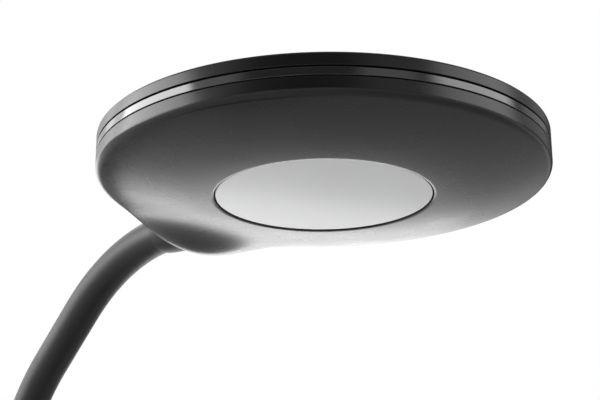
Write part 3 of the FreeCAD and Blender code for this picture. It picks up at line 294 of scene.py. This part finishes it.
# %% Finish helper
def new_material(name):
    """An empty material, its node tree and the place on the piece that patterns are read at."""
    material = bpy.data.materials.new(name)
    material.use_nodes = True
    tree = material.node_tree
    tree.nodes.clear()
    return material, tree, add(tree, "ShaderNodeTexCoord").outputs["Object"]


def finish(name, colour_low, colour_high, rough_low, rough_high, grain, lift, mottle=60.0, **constants):
    """A grained surface: mottled colour and roughness, and a fine bump that is `lift` mm high."""
    material, tree, place = new_material(name)
    cloud = add(tree, "ShaderNodeTexNoise", Vector=place, Scale=mottle, Detail=3.0).outputs["Fac"]
    grains = add(tree, "ShaderNodeTexNoise", Vector=place, Scale=grain, Detail=2.0).outputs["Fac"]
    share = add(tree, "ShaderNodeMapRange", Value=cloud, _1=0.3, _2=0.7).outputs[0]
    mix = add(tree, "ShaderNodeMix", {"data_type": "RGBA"}, _0=share,
              _6=(*colour_low, 1), _7=(*colour_high, 1))
    rough = add(tree, "ShaderNodeMapRange", Value=cloud, _1=0.3, _2=0.7, _3=rough_low, _4=rough_high)
    bump = add(tree, "ShaderNodeBump", Height=grains, Distance=lift * MM, Strength=1.0)
    shader = add(tree, "ShaderNodeBsdfPrincipled", Base_Color=mix.outputs[2], Roughness=rough.outputs[0],
                 Normal=bump.outputs[0], **constants)
    add(tree, "ShaderNodeOutputMaterial", Surface=shader.outputs[0])
    return material


finishes = {}
print("finish helper is ready")

# %% [markdown]
# Covers, shell and button are one satin black plastic. It is dark all through, has a fine moulded
# grain and mirrors the studio softly. The collar is of the same plastic, but its grain is rougher
# and takes its gloss away.

# %% Black plastics
SATIN_GRAIN = 1700
finishes["satin_black_plastic"] = finish(
    "satin black plastic", (0.0085, 0.0085, 0.009), (0.0115, 0.0115, 0.012), 0.26, 0.29,
    grain=SATIN_GRAIN, lift=0.0025, IOR=1.45)
finishes["matt_collar"] = finish(
    "matt black plastic", (0.009, 0.009, 0.0095), (0.012, 0.012, 0.0125), 0.44, 0.5,
    grain=1900, lift=0.008, IOR=1.43)
print("satin plastic, grain of", round(1 / SATIN_GRAIN / MM, 2), "mm")

# %% [markdown]
# The band between cover and shell is a clear dark ring, polished and so much glossier, with the
# faint broad waves that clear plastic keeps from its mould.

# %% Clear dark plastic
finishes["clear_dark_plastic"] = finish(
    "clear dark plastic", (0.018, 0.018, 0.019), (0.022, 0.022, 0.023), 0.13, 0.16,
    grain=260, lift=0.002, IOR=1.8)
print("clear ring done")

# %% [markdown]
# The lens is opal plastic, pale and a little glossy. It is milky enough to hide the light sources
# behind it, so here it is made opaque.

# %% Opal plastic
finishes["opal_plastic"] = finish(
    "opal plastic", (0.86, 0.865, 0.87), (0.88, 0.885, 0.89), 0.09, 0.11,
    grain=2200, lift=0.001, mottle=25.0, IOR=1.6)
print("opal lens done")

# %% [markdown]
# The neck's sleeve and the button's return dome are silicone rubber: dark and matt, with a dry,
# slightly uneven skin.

# %% Silicone
finishes["silicone"] = finish(
    "silicone rubber", (0.011, 0.011, 0.0115), (0.015, 0.015, 0.016), 0.44, 0.5,
    grain=2100, lift=0.008, mottle=35.0, IOR=1.43)
print("silicone done")

# %% [markdown]
# What the covers hide is finished too, since the parts can be shown open: bare and plated metals,
# boards, rubber, foam and leads. Bare and plated metals differ from plastics in one value, Metallic.

# %% Metals
finishes["bare_aluminium"] = finish(
    "bare aluminium", (0.66, 0.67, 0.69), (0.76, 0.77, 0.79), 0.28, 0.4,
    grain=900, lift=0.004, mottle=45.0, Metallic=1.0)
finishes["zinc_steel"] = finish(
    "zinc-plated steel", (0.5, 0.52, 0.55), (0.64, 0.64, 0.62), 0.22, 0.38,
    grain=1600, lift=0.003, mottle=300.0, Metallic=1.0)
finishes["grey_steel"] = finish(
    "phosphated steel", (0.16, 0.16, 0.165), (0.26, 0.26, 0.265), 0.42, 0.6,
    grain=1300, lift=0.008, mottle=90.0, Metallic=0.8)
finishes["black_metal"] = finish(
    "black powder-coated metal", (0.01, 0.01, 0.0105), (0.014, 0.014, 0.015), 0.3, 0.36,
    grain=1100, lift=0.01, IOR=1.5)
print("four metals done")

# %% Plastics, rubber and foam inside
finishes["white_plastic"] = finish(
    "matt white plastic", (0.84, 0.84, 0.83), (0.89, 0.89, 0.885), 0.5, 0.6, grain=1500, lift=0.004)
finishes["nylon"] = finish(
    "glass-filled nylon", (0.018, 0.018, 0.018), (0.04, 0.04, 0.041), 0.4, 0.6,
    grain=800, lift=0.012, mottle=700.0)
finishes["part_black"] = finish(
    "moulded black parts", (0.012, 0.012, 0.013), (0.02, 0.02, 0.021), 0.25, 0.38, grain=1400, lift=0.006)
finishes["black_foam"] = finish(
    "closed-cell foam", (0.008, 0.008, 0.008), (0.03, 0.03, 0.03), 0.85, 0.95,
    grain=3200, lift=0.08, mottle=2500.0)
finishes["pad_rubber"] = finish(
    "pad rubber", (0.012, 0.012, 0.012), (0.024, 0.024, 0.024), 0.6, 0.75, grain=1200, lift=0.03)
finishes["lead_jacket"] = finish(
    "lead jacket", (0.013, 0.013, 0.013), (0.019, 0.019, 0.019), 0.35, 0.45, grain=900, lift=0.01)
finishes["phosphor"] = finish(
    "yellow phosphor", (0.85, 0.66, 0.16), (0.93, 0.78, 0.3), 0.3, 0.4, grain=4000, lift=0.004, mottle=900.0)
print("inner plastics done:", len(finishes))

# %% [markdown]
# Circuit boards have copper under their lacquer. A brick pattern gives the squarish fields of
# copper: the lacquer on them has another shade than the lacquer between them, and there is a low
# step where they end.

# %% Circuit boards
def board(name, lacquer, over_copper, scale):
    """A lacquered board; a larger scale gives smaller fields of copper."""
    material, tree, place = new_material(name)
    fields = add(tree, "ShaderNodeTexBrick", Vector=place, Scale=scale, Color1=(*over_copper, 1),
                 Color2=(*over_copper, 1), Mortar=(*lacquer, 1), Mortar_Size=0.06)
    bump = add(tree, "ShaderNodeBump", {"invert": True}, Height=fields.outputs["Fac"], Distance=0.03 * MM)
    cloud = add(tree, "ShaderNodeTexNoise", Vector=place, Scale=400.0).outputs["Fac"]
    rough = add(tree, "ShaderNodeMapRange", Value=cloud, _3=0.2, _4=0.36)
    shader = add(tree, "ShaderNodeBsdfPrincipled", Base_Color=fields.outputs["Color"],
                 Roughness=rough.outputs[0], Normal=bump.outputs[0])
    add(tree, "ShaderNodeOutputMaterial", Surface=shader.outputs[0])
    return material


finishes["green_board"] = board("green circuit board", (0.02, 0.12, 0.05), (0.03, 0.2, 0.09), 180)
finishes["white_board"] = board("white light board", (0.86, 0.86, 0.84), (0.8, 0.8, 0.78), 110)
print("boards done")

# %% [markdown]
# The neck's core is a wound steel spring. Its windings lie across the neck, so their pattern can't
# come from plain coordinates: each core piece carries an attribute, "along", with the distance
# from the neck's foot, and a sine of it gives the wire's round backs.

# %% Wound steel
WINDING = 1.6  # from one wire to the next
wound = finish("wound steel", (0.36, 0.36, 0.37), (0.5, 0.5, 0.51), 0.25, 0.42,
               grain=1500, lift=0.004, mottle=260.0, Metallic=1.0)
tree = wound.node_tree
along = add(tree, "ShaderNodeAttribute", {"attribute_name": "along"}).outputs["Fac"]
windings = math_node(tree, "SINE", math_node(tree, "MULTIPLY", along, math.tau / (WINDING * MM)))
bump = next(n for n in tree.nodes if n.type == "BUMP")
ridges = add(tree, "ShaderNodeBump", Height=windings, Distance=0.2 * MM, Normal=bump.outputs[0])
shader = next(n for n in tree.nodes if n.type == "BSDF_PRINCIPLED")
tree.links.new(ridges.outputs[0], shader.inputs["Normal"])
finishes["wound_steel"] = wound
print("windings every", WINDING, "mm")

# %% [markdown]
# The solids that keep their own shape get these finishes now. Each solid's material slot is named
# after its finish, so one loop dresses them all.

# %% Dress the solids
for name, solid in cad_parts.items():
    slot = solid.data.materials[0].name.split(".")[0]
    solid.data.materials[0] = finishes[slot]
print("dressed", len(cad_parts), "solids with", len(finishes), "finishes")

# %% [markdown]
# ## Turned pieces
# Most of the lamp is round, so its pieces are turned as on a lathe: an outline of corners is traced
# by extruding one vertex from corner to corner, some corners are bevelled, and the outline is spun
# once round its axis. Doubles where the spin closes and at the poles are merged, and normals are
# made to point outwards. A wide flat stretch has one more corner part-way, so that its faces don't
# get long and thin.

# %% Turning helper
TOUCHING = 1e-6  # metres; vertices nearer than this are one


def select_where(piece, test):
    """In edit mode, select just the vertices whose place passes the test."""
    mesh = bmesh.from_edit_mesh(piece.data)
    for item in (*mesh.faces, *mesh.edges, *mesh.verts):
        item.select = False
    for vertex in mesh.verts:
        vertex.select = bool(test(vertex.co))
    mesh.select_flush(True)
    bmesh.update_edit_mesh(piece.data)


def turned(name, outline, centre=(0, 0, 0), steps=96, along_y=False):
    """Spin an outline of (radius, height) or (radius, height, bevel) corners, in millimetres."""
    corners = [Vector((r * MM, 0, h * MM)) for r, h, *_ in outline]
    bpy.ops.object.select_all(action="DESELECT")
    bpy.ops.mesh.primitive_plane_add(size=MM)
    piece = bpy.context.object
    piece.name = name
    bpy.ops.object.mode_set(mode="EDIT")
    bpy.ops.mesh.merge(type="CENTER")
    bpy.ops.transform.translate(value=corners[0])
    closed = corners[0].x > 0 or corners[-1].x > 0
    ends = corners[1:] + corners[:1] if closed else corners[1:]
    for here, there in zip(corners, ends):
        bpy.ops.mesh.extrude_vertices_move(TRANSFORM_OT_translate={"value": there - here})
    bpy.ops.mesh.select_all(action="SELECT")
    bpy.ops.mesh.remove_doubles(threshold=TOUCHING)
    for size in sorted({corner[2] for corner in outline if len(corner) > 2}):
        soft = [p for p, corner in zip(corners, outline) if corner[2:] == (size,)]
        select_where(piece, lambda co: any((co - p).length < TOUCHING for p in soft))
        bpy.ops.mesh.bevel(offset=size * MM, segments=3 if size < 1 else 6, affect="VERTICES")
    bpy.ops.mesh.select_all(action="SELECT")
    bpy.ops.mesh.spin(steps=steps, angle=math.tau, center=(0, 0, 0), axis=(0, 0, 1))
    bpy.ops.mesh.select_all(action="SELECT")
    bpy.ops.mesh.remove_doubles(threshold=2 * TOUCHING)
    bpy.ops.mesh.normals_make_consistent(inside=False)
    bpy.ops.object.mode_set(mode="OBJECT")
    piece.rotation_euler.x = -math.pi / 2 if along_y else 0
    piece.location = centre
    bpy.ops.object.transform_apply(location=True, rotation=True, scale=True)
    return piece


print("turning helper is ready")

# %% [markdown]
# A few things come back in both head and base: screws that sit on a circle, the posts that they go
# into, rods that cut round holes, and blocks with rounded edges.

# %% Circles, rods, posts and blocks
def on_circle(radius, *angles):
    """Places on a circle, in mm, at angles in degrees."""
    return [(radius * math.cos(math.radians(a)), radius * math.sin(math.radians(a))) for a in angles]


def beside(centre, x, y):
    """A place that lies x and y mm beside a centre."""
    return centre + Vector((x, y, 0)) * MM


def rod(name, radius, low, high, centre, steps, along_y=False):
    """A plain round rod between two heights, in mm from a centre."""
    return turned(name, [(0, low), (radius, low), (radius, high), (0, high)], centre, steps, along_y)


def post(name, centre, low, high, radius, bore, depth):
    """A screw boss with a blind pilot hole that opens downwards."""
    top = low + depth
    outline = [(0, top), (bore, top), (bore, low), (radius, low), (radius, high), (0, high)]
    return turned(name, outline, centre, steps=32)


def block(name, low, high, bevel, segments, origin=Vector()):
    """A block between two corners, in mm from an origin, with bevelled edges."""
    low, high = Vector(low), Vector(high)
    bpy.ops.object.select_all(action="DESELECT")
    bpy.ops.mesh.primitive_cube_add(size=1, location=origin + (low + high) / 2 * MM, scale=(high - low) * MM)
    piece = bpy.context.object
    piece.name = name
    bpy.ops.object.transform_apply(location=True, rotation=True, scale=True)
    bpy.ops.object.mode_set(mode="EDIT")
    bpy.ops.mesh.select_all(action="SELECT")
    bpy.ops.mesh.bevel(offset=bevel * MM, segments=segments)
    bpy.ops.object.mode_set(mode="OBJECT")
    return piece


print("helpers for rods, posts and blocks are ready")

# %% [markdown]
# Holes are cut with a Boolean modifier that is applied at once, and pieces that are moulded in one
# are joined. The last helper shades a piece, gives it its finish, lets it ride on its body and hides
# the solids that it stands for.

# %% Cutting, joining and finishing
def cut(piece, *cutters):
    for cutter in cutters:
        hole = piece.modifiers.new("hole", "BOOLEAN")
        hole.operation, hole.solver, hole.object = "DIFFERENCE", "EXACT", cutter
        bpy.ops.object.select_all(action="DESELECT")
        bpy.context.view_layer.objects.active = piece
        piece.select_set(True)
        bpy.ops.object.modifier_apply(modifier=hole.name)
        bpy.data.objects.remove(cutter)


def joined(piece, *others):
    bpy.ops.object.select_all(action="DESELECT")
    for part in (piece, *others):
        part.select_set(True)
    bpy.context.view_layer.objects.active = piece
    bpy.ops.object.join()
    return piece


def finished(piece, slot, body, *nodes, angle=30, look=None):
    """Shade smooth up to an angle, keep flat faces flat, and put the piece in the nodes' place.

    The finish is the slot's own, unless the piece has a look of its own.
    """
    bpy.ops.object.select_all(action="DESELECT")
    piece.select_set(True)
    bpy.context.view_layer.objects.active = piece
    bpy.ops.object.shade_smooth_by_angle(angle=math.radians(angle))
    weighted = piece.modifiers.new("flat faces stay flat", "WEIGHTED_NORMAL")
    weighted.keep_sharp = True
    bpy.ops.object.modifier_apply(modifier=weighted.name)
    piece.data.materials.clear()
    piece.data.materials.append(finishes[look or slot])
    if body:
        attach(piece, body)
    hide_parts(*nodes)
    print(piece.name, len(piece.data.polygons), "faces")
    return piece


print("cutting and finishing helpers are ready")

# %% [markdown]
# ## The bottom shell
# The shell is the lower half of the head: a shallow dome whose middle holds the lens, a lip that
# centres the ring and the cover, and a swelling that meets the neck. Its outline is turned. The
# dome's height follows one parabola, traced in short steps for the outside and, one wall higher,
# for the inside. Round the lens the dome ends in a small rounded edge, and a flange inside it
# carries the lens.

# %% Head sizes
WALL = 2
INNER = RIM - WALL
LID_UNDERSIDE = COVER_TOP - WALL
LENS_HOLE = 41.1
FLANGE_EDGE = 31.5
FLANGE_LOW = FLANGE_TOP - WALL
FLAT = 34  # radius of the dome's level middle
DEPTH, RIM_DROP = 8.9, 2  # of the dome, below the rim plane, in its middle and at its edge
SHELL_TOP, RING_LOW, RING_TOP, COVER_LOW = 3.8, 4.2, 7.05, 7.7  # the grooves' edges on the rim's wall
SHELL_SCREWS = on_circle(36.5, 45, 135, 225, 315)
SPREADER_SCREWS = on_circle(45.2, 30, 150, 270)
PILOT = 1  # radius of the holes that small screws bite into
NECK_HOLE = 8.4
print("grooves of", round(RING_LOW - SHELL_TOP, 2), "and", round(COVER_LOW - RING_TOP, 2), "mm")

# %% Shell, turned
def dome(radius):
    """Height of the underside, in mm from the rim plane."""
    return (DEPTH - RIM_DROP) / (RIM - FLAT) ** 2 * max(radius - FLAT, 0) ** 2 - DEPTH


def dome_points(start, end, steps, above=0):
    """Corners along the dome, or some mm above it, from one radius to another."""
    radii = [start + (end - start) * step / steps for step in range(steps + 1)]
    return [(radius, dome(radius) + above) for radius in radii]


EDGE_START = LENS_HOLE + 1.3  # the rounded edge is 1.3 mm wide and 0.5 mm high
edge = []
for angle in range(0, 90, 15):
    radius = EDGE_START - (EDGE_START - LENS_HOLE) * math.cos(math.radians(angle))
    edge.append((radius, dome(radius) + 0.5 * (1 - math.sin(math.radians(angle)))))
lip = [(82.9, SHELL_TOP), (82.9, 9.1, 0.2), (81.8, 9.1, 0.2)]
inner_wall = LENS_HOLE + WALL
shell = turned("shell", [
    (FLANGE_EDGE, FLANGE_LOW), (LENS_HOLE, FLANGE_LOW), *edge, *dome_points(EDGE_START, 82.5, 40),
    (RIM, -RIM_DROP, 2), (RIM, 2), (RIM, SHELL_TOP, 0.2), *lip, *dome_points(81.8, 44.94, 19, above=WALL),
    (inner_wall, dome(inner_wall) + WALL), (inner_wall, FLANGE_TOP), (FLANGE_EDGE, FLANGE_TOP)],
    HEAD, steps=192)
print("dome rises", round(dome(82) - dome(LENS_HOLE), 2), "mm to the rim")

# %% [markdown]
# The swelling below the neck is a bell across and starts slowly along, so it runs out into the dome
# with no edge. Its middle stands a little beside the neck's. The turned mesh is dense enough to take
# it: each vertex of the dome sinks by the bell's depth, and those of the wall by the share that
# their height gives. A lattice or proportional editing would do it too, but not with the same even
# run-out.

# %% Shell, swelling and holes
BESIDE_NECK = 3.5
HALF_WIDTH = 48
START, PEAK = 38, RIM - 2.2  # along the neck's line, where the swelling starts and is deepest
DEEPEST, DEPTH_AT_RIM = 8.3, 7


def swelling(across, along):
    """Depth of the swelling in mm at a place in mm from the head's middle."""
    off = across - BESIDE_NECK
    if along <= START or abs(off) >= HALF_WIDTH:
        return 0
    bell = math.cos(math.pi / 2 * off / HALF_WIDTH) ** 2
    if along <= PEAK:
        share = ((along - START) / (PEAK - START)) ** 4
        return DEEPEST * bell * share * (2 - share)
    return bell * (DEEPEST - (DEEPEST - DEPTH_AT_RIM) * ((along - PEAK) / (RIM - PEAK)) ** 2)


def neck_hole(start):
    """A cutter for the hole round the neck, from a place inside the rim to outside it."""
    return rod("neck_hole", NECK_HOLE, start, RIM + 5, NECK, steps=48, along_y=True)


for vertex in shell.data.vertices:
    place = (vertex.co - HEAD) / MM
    reach = math.hypot(place.x, place.y)
    share = 1
    if reach > 81:  # the rim's wall and the lip
        share = min(1, max(0, 1 - place.z / SHELL_TOP))
    elif reach < inner_wall + 0.1 and place.z > -6:  # the flange
        share = 0
    vertex.co.z -= swelling(place.x, place.y) * share * MM
cut(shell, neck_hole(70))
for x, y in SHELL_SCREWS:
    sink = turned("sink", [(0, -6), (2.6, -6), (2.6, FLANGE_LOW), (1.2, -4.05), (1.2, -3), (0, -3)],
                  beside(HEAD, x, y), steps=32)
    cut(shell, sink)
finished(shell, "satin_black_plastic", "head", "head_bottom_shell", angle=32)

# %% [markdown]
# ## Ring and cover
# The glossy ring sits between shell and cover with a narrow groove at either side, and all edges
# next to it are softened. The grooves give the two fine dark lines round the head. The cover carries
# the posts that the screws go into, and a thicker place above the neck's bracket.

# %% Ring
ring = turned("ring", [(INNER, RING_LOW), (RIM, RING_LOW, 0.2), (RIM, RING_TOP, 0.2), (INNER, RING_TOP)],
              HEAD, steps=192)
cut(ring, neck_hole(70))
finished(ring, "clear_dark_plastic", "head", "head_ring")

# %% Cover
cover = turned("cover", [
    (0, LID_UNDERSIDE), (60, LID_UNDERSIDE), (INNER, LID_UNDERSIDE), (INNER, COVER_LOW),
    (RIM, COVER_LOW, 0.2), (RIM, COVER_TOP, 0.95), (60, COVER_TOP), (0, COVER_TOP)], HEAD, steps=192)
cut(cover, neck_hole(79))
posts = []
for x, y in SHELL_SCREWS:
    place = beside(HEAD, x, y)
    posts.append(post("long_post", place, FLANGE_TOP, LID_UNDERSIDE, radius=3.4, bore=PILOT, depth=6))
for x, y in SPREADER_SCREWS:
    place = beside(HEAD, x, y)
    posts.append(post("short_post", place, SPREADER_TOP, LID_UNDERSIDE, radius=3, bore=PILOT, depth=3.05))
thicker = block("thicker_place", (bracket_low[0], bracket_low[1], bracket_high[2]),
                (bracket_high[0], bracket_high[1], LID_UNDERSIDE), bevel=0.3, segments=2, origin=HEAD)
bracket_middle = (bracket_low[1] + bracket_high[1]) / 2
for x in (-10, 10):
    cut(thicker, rod("pilot", PILOT, 7, LID_UNDERSIDE + 0.1, beside(HEAD, x, bracket_middle), steps=24))
joined(cover, *posts, thicker)
finished(cover, "satin_black_plastic", "head", "head_top_cover")

# %% [markdown]
# ## Lens and collar
# The lens is a flat disc with softened edges, a little inside its hole, so a dark line shows round
# it. The collar is a short barrel round the neck: its spigot goes through the rim's wall, its bulge
# lies against the wall, and its mouth holds the sleeve. The bulge gets slimmer towards its mouth,
# and it is cut to the head's roundness.

# %% Lens
face = LENS_FACE - 0.2  # the lens is a little thicker than its solid
lens = turned("lens", [
    (0, face), (20, face), (LENS, face, 0.25), (LENS, LENS_BACK, 0.2), (20, LENS_BACK), (0, LENS_BACK)],
    HEAD, steps=128)
finished(lens, "opal_plastic", "head", "lens_diffuser")

# %% Collar
SPIGOT, BORE, SLEEVE_ROOM = 8.3, 5.1, 8  # radii
BULGE_START, BULGE_END, BULGE_STEPS = 83.8, 99.8, 6
barrel = []
for step in range(BULGE_STEPS + 1):
    share = step / BULGE_STEPS
    barrel.append((10.2 - 1.5 * share**2, BULGE_START + (BULGE_END - BULGE_START) * share))
bulge = turned("collar", [
    (SPIGOT, BULGE_START), *barrel, (8.35, 100.8), (8.15, 101, 0.1), (SLEEVE_ROOM, 101), (SLEEVE_ROOM, 98),
    (5.6, 98), (5.6, 92), (BORE, 92), (BORE, 90), (SPIGOT, 90)], NECK, steps=64, along_y=True)
cut(bulge, rod("wall", RIM + 0.1, -20, 30, HEAD, steps=192))
spigot = turned("spigot", [(BORE, 78), (SPIGOT, 78, 0.4), (SPIGOT, 90), (BORE, 90)],
                NECK, steps=64, along_y=True)
joined(bulge, spigot)
finished(bulge, "satin_black_plastic", "head", "neck_collar", look="matt_collar")

# %% [markdown]
# ## The neck
# The neck is one line in the plane x = 0: upright, a wide bend, a short slope, a second bend and a
# level end. Three layers follow it: the sleeve, the wound core and the lead. A ring of edges is
# placed on the line and taken along it, extruded where the line is straight and spun where it
# bends. The neck bends at eight places, so each layer is cut midway between them into eight pieces.

# %% The neck's line
LEGS = [  # a run of so many mm, or a bend of a radius in mm and an angle in degrees
    ("run", 232, 0),
    ("bend", 90, 50.8),
    ("run", 32, 0),
    ("bend", 97, 39.2),
    ("run", 120, 0),
]
FIRST_BEND, BEND_STEP, BEND_COUNT = 38.635, 49.27, 8
BENDS = [FIRST_BEND + BEND_STEP * i for i in range(BEND_COUNT)]
HALF = BEND_STEP / 2


def leg_length(kind, size, turn):
    return size if kind == "run" else size * math.radians(turn)


def follow(length):
    """Place (y, z in mm) and heading (radians from upright) after a length of neck in mm."""
    y, z, heading = FOOT.y / MM, LID, 0.0
    for kind, size, turn in LEGS:
        part = min(length, leg_length(kind, size, turn))
        if kind == "run":
            y -= part * math.sin(heading)
            z += part * math.cos(heading)
        else:
            more = heading + part / size
            y -= size * (math.cos(heading) - math.cos(more))
            z += size * (math.sin(more) - math.sin(heading))
            heading = more
        length -= part
        if length <= 0:
            break
    return y, z, heading


print("bends at", [round(b, 1) for b in BENDS], "mm; last at", [round(v, 2) for v in follow(BENDS[-1])])

# %% [markdown]
# A tube's rings stand about 3 mm apart, so that it bends without corners. The wall comes from a
# Solidify modifier, and the thin lead is closed at both ends instead.

# %% Tube helper
RING_STEP = 3


def take_along(kind, size, low, high):
    """Take the selected ring of edges along one leg, from one length of neck to another."""
    steps = max(1, round((high - low) / RING_STEP))
    y, z, heading = follow(low)
    if kind == "run":
        far_y, far_z, _ = follow(high)
        move = (0, (far_y - y) / steps * MM, (far_z - z) / steps * MM)
        for _ in range(steps):
            bpy.ops.mesh.extrude_region_move(TRANSFORM_OT_translate={"value": move})
    else:
        centre = (0, (y - size * math.cos(heading)) * MM, (z - size * math.sin(heading)) * MM)
        bpy.ops.mesh.spin(steps=steps, angle=(high - low) / size, center=centre, axis=(-1, 0, 0))


def tube(name, start, end, radius, wall, sides):
    """A tube or rod along the neck's line between two lengths, in mm."""
    y, z, heading = follow(start)
    bpy.ops.object.select_all(action="DESELECT")
    bpy.ops.mesh.primitive_circle_add(vertices=sides, radius=radius * MM, location=(0, y * MM, z * MM),
                                      rotation=(heading, 0, 0))
    piece = bpy.context.object
    piece.name = name
    bpy.ops.object.transform_apply(location=True, rotation=True, scale=True)
    bpy.ops.object.mode_set(mode="EDIT")
    low, passed = start, 0.0
    for kind, size, turn in LEGS:
        passed += leg_length(kind, size, turn)
        high = min(end, passed)
        if high > low + 1e-6:
            take_along(kind, size, low, high)
            low = high
    bpy.ops.mesh.select_all(action="SELECT")
    bpy.ops.mesh.remove_doubles(threshold=TOUCHING)
    if wall is None:
        bpy.ops.mesh.fill_holes(sides=0)
    bpy.ops.mesh.normals_make_consistent(inside=False)
    bpy.ops.object.mode_set(mode="OBJECT")
    if wall:
        solid = piece.modifiers.new("wall", "SOLIDIFY")
        solid.thickness, solid.offset = wall * MM, -1
        bpy.ops.object.modifier_apply(modifier=solid.name)
    return piece


print("tube helper is ready")

# %% [markdown]
# The core's pieces carry the attribute that their windings need: for each vertex, the length of neck
# at the nearest place on its line.

# %% Sleeve, core and lead
LAYERS = {  # name: (start, end, radius, wall, sides, finish)
    "sleeve": (8.0, 414.2, 7.9, 2.3, 56, "silicone"),
    "core": (2.1, 420.2, 5.5, 3.7, 40, "wound_steel"),
    "lead": (-13.5, 453.2, 1.5, None, 20, "lead_jacket"),
}


def reaches(first, last):
    """Start and end of the eight pieces of a layer, in mm."""
    cuts = [first] + [b + HALF for b in BENDS[:-1]] + [last]
    return list(zip(cuts, cuts[1:]))


def length_at(y, z, low, high):
    """Length of neck, in mm, at the place on its line that is nearest to y and z."""
    whole = range(int(low) - 2, int(high) + 3)
    nearest = min(whole, key=lambda length: math.dist((y, z), follow(length)[:2]))
    line_y, line_z, heading = follow(nearest)
    return nearest - (y - line_y) * math.sin(heading) + (z - line_z) * math.cos(heading)


for layer, (first, last, radius, wall, sides, slot) in LAYERS.items():
    for index, (low, high) in enumerate(reaches(first, last)):
        piece = tube(f"{layer}_{index + 1}", low, high, radius, wall, sides)
        nodes = [f"neck_{layer}_{index + 1}"]
        if index == BEND_COUNT - 1:
            nodes.append(f"neck_{layer}_{BEND_COUNT + 1}")
        if layer == "core":
            values = [length_at(v.co.y / MM, v.co.z / MM, low, high) * MM for v in piece.data.vertices]
            piece.data.attributes.new("along", "FLOAT", "POINT").data.foreach_set("value", values)
        finished(piece, slot, None, *nodes, angle=40)
        before, after = follow(BENDS[index] - HALF), follow(BENDS[index] + HALF)
        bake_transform(piece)

# %% [markdown]
# ## The base
# The base is a weighted drum under a moulded cover. The cover is turned like the head's, with posts
# for the four screws, a thicker place for the neck's foot, and three openings. The button's opening
# has a small chamfer, which its cutter brings along.

# %% Base cover
BASE_WALL = 2.5
BASE_SCREWS = on_circle(66, 45, 135, 225, 315)
ceiling = LID - BASE_WALL
housing = turned("housing", [
    (0, ceiling), (60, ceiling), (BASE - BASE_WALL, ceiling), (BASE - BASE_WALL, BASE_LOW),
    (BASE, BASE_LOW, 0.4), (BASE, 12), (BASE, LID, 4), (70, LID), (0, LID)], steps=192)
foot_opening = rod("foot_opening", BORE, 17, LID + 2, FOOT, steps=48)
button_opening = turned("button_opening", [
    (0, 20), (8.3, 20), (8.3, 23.6), (8.8, 24.1), (8.8, LID + 2), (0, LID + 2)], BUTTON, steps=64)
inlet_opening = rod("inlet_opening", 4.7, BASE - 5, BASE + 5, INLET, steps=48, along_y=True)
cut(housing, foot_opening, button_opening, inlet_opening)
foot_boss = turned("foot_boss", [(BORE, 18), (14, 18, 0.4), (14, ceiling), (BORE, ceiling)], FOOT, steps=64)
posts = [post("base_post", beside(Vector(), x, y), 4, ceiling, radius=4, bore=1.5, depth=9)
         for x, y in BASE_SCREWS]
joined(housing, foot_boss, *posts)
finished(housing, "satin_black_plastic", "base", "base_cover")

# %% [markdown]
# Under the base lies a rubber pad with two grooves for grip. The neck rises from a turned ring whose
# waist is hollowed, and the push button has a slightly dished top that a finger finds.

# %% Pad, foot ring and button
def groove(radius):
    """Corners of a groove in the pad, 2.5 mm wide and 0.5 mm deep."""
    return [(radius, 0), (radius + 0.5, 0.5), (radius + 2, 0.5), (radius + 2.5, 0)]


pad = turned("pad", [(0, 0), *groove(60), *groove(69), (PAD, 0, 0.4), (PAD, PAD_TOP, 0.2), (0, PAD_TOP)],
             steps=160)
finished(pad, "pad_rubber", "base", "base_pad")
waist = [(12, 27.9), (11.2, 29.2), (10.7, 30.6), (10.3, 32.5), (9.9, 35)]
foot_ring = turned("foot_ring", [
    (5.6, LID), (13, LID, 0.2), (13, 27, 0.5), *waist, (9.4, 38, 0.4), (8, 38, 0.2), (8, 32), (5.6, 32)],
    FOOT, steps=96)
finished(foot_ring, "black_metal", "base", "base_ferrule")
dish = [(radius, 24.5 + 0.3 * (radius / 8) ** 2) for radius in (7.2, 6, 4.5, 2.5, 0)]
button = turned("button", [
    (0, 13), (2.5, 13, 0.3), (2.5, 19.8), (9.6, 19.8), (9.6, 21.2, 0.2), (8, 21.2), (8, 24.8, 0.4), *dish],
    BUTTON, steps=72)
finished(button, "satin_black_plastic", "button", "button_cap")

# %% [markdown]
# ## The inlet
# Power comes in at the back through a small barrel socket: a moulded block, a round nozzle that
# fills the cover's opening, a bore and the centre pin.

# %% Inlet
INLET_BORE = 2.9
INLET_BACK = BASE - BASE_WALL - 0.25  # the block stops short of the cover's wall
socket = block("inlet", inlet_low, (inlet_high[0], INLET_BACK, inlet_high[2]), bevel=0.5, segments=3)
cut(socket, rod("bore", INLET_BORE, 75, 90, INLET, steps=48, along_y=True))
nozzle = turned("nozzle", [(INLET_BORE, 82.1), (4.6, 82.1), (4.6, BASE, 0.3), (INLET_BORE, BASE, 0.4)],
                INLET, steps=64, along_y=True)
pin = turned("pin", [(0, 74.9), (1, 74.9), (1, 83.5, 0.5), (0, 83.5)], INLET, steps=32, along_y=True)
joined(socket, nozzle, pin)
finished(socket, "part_black", "base", "dc_inlet")
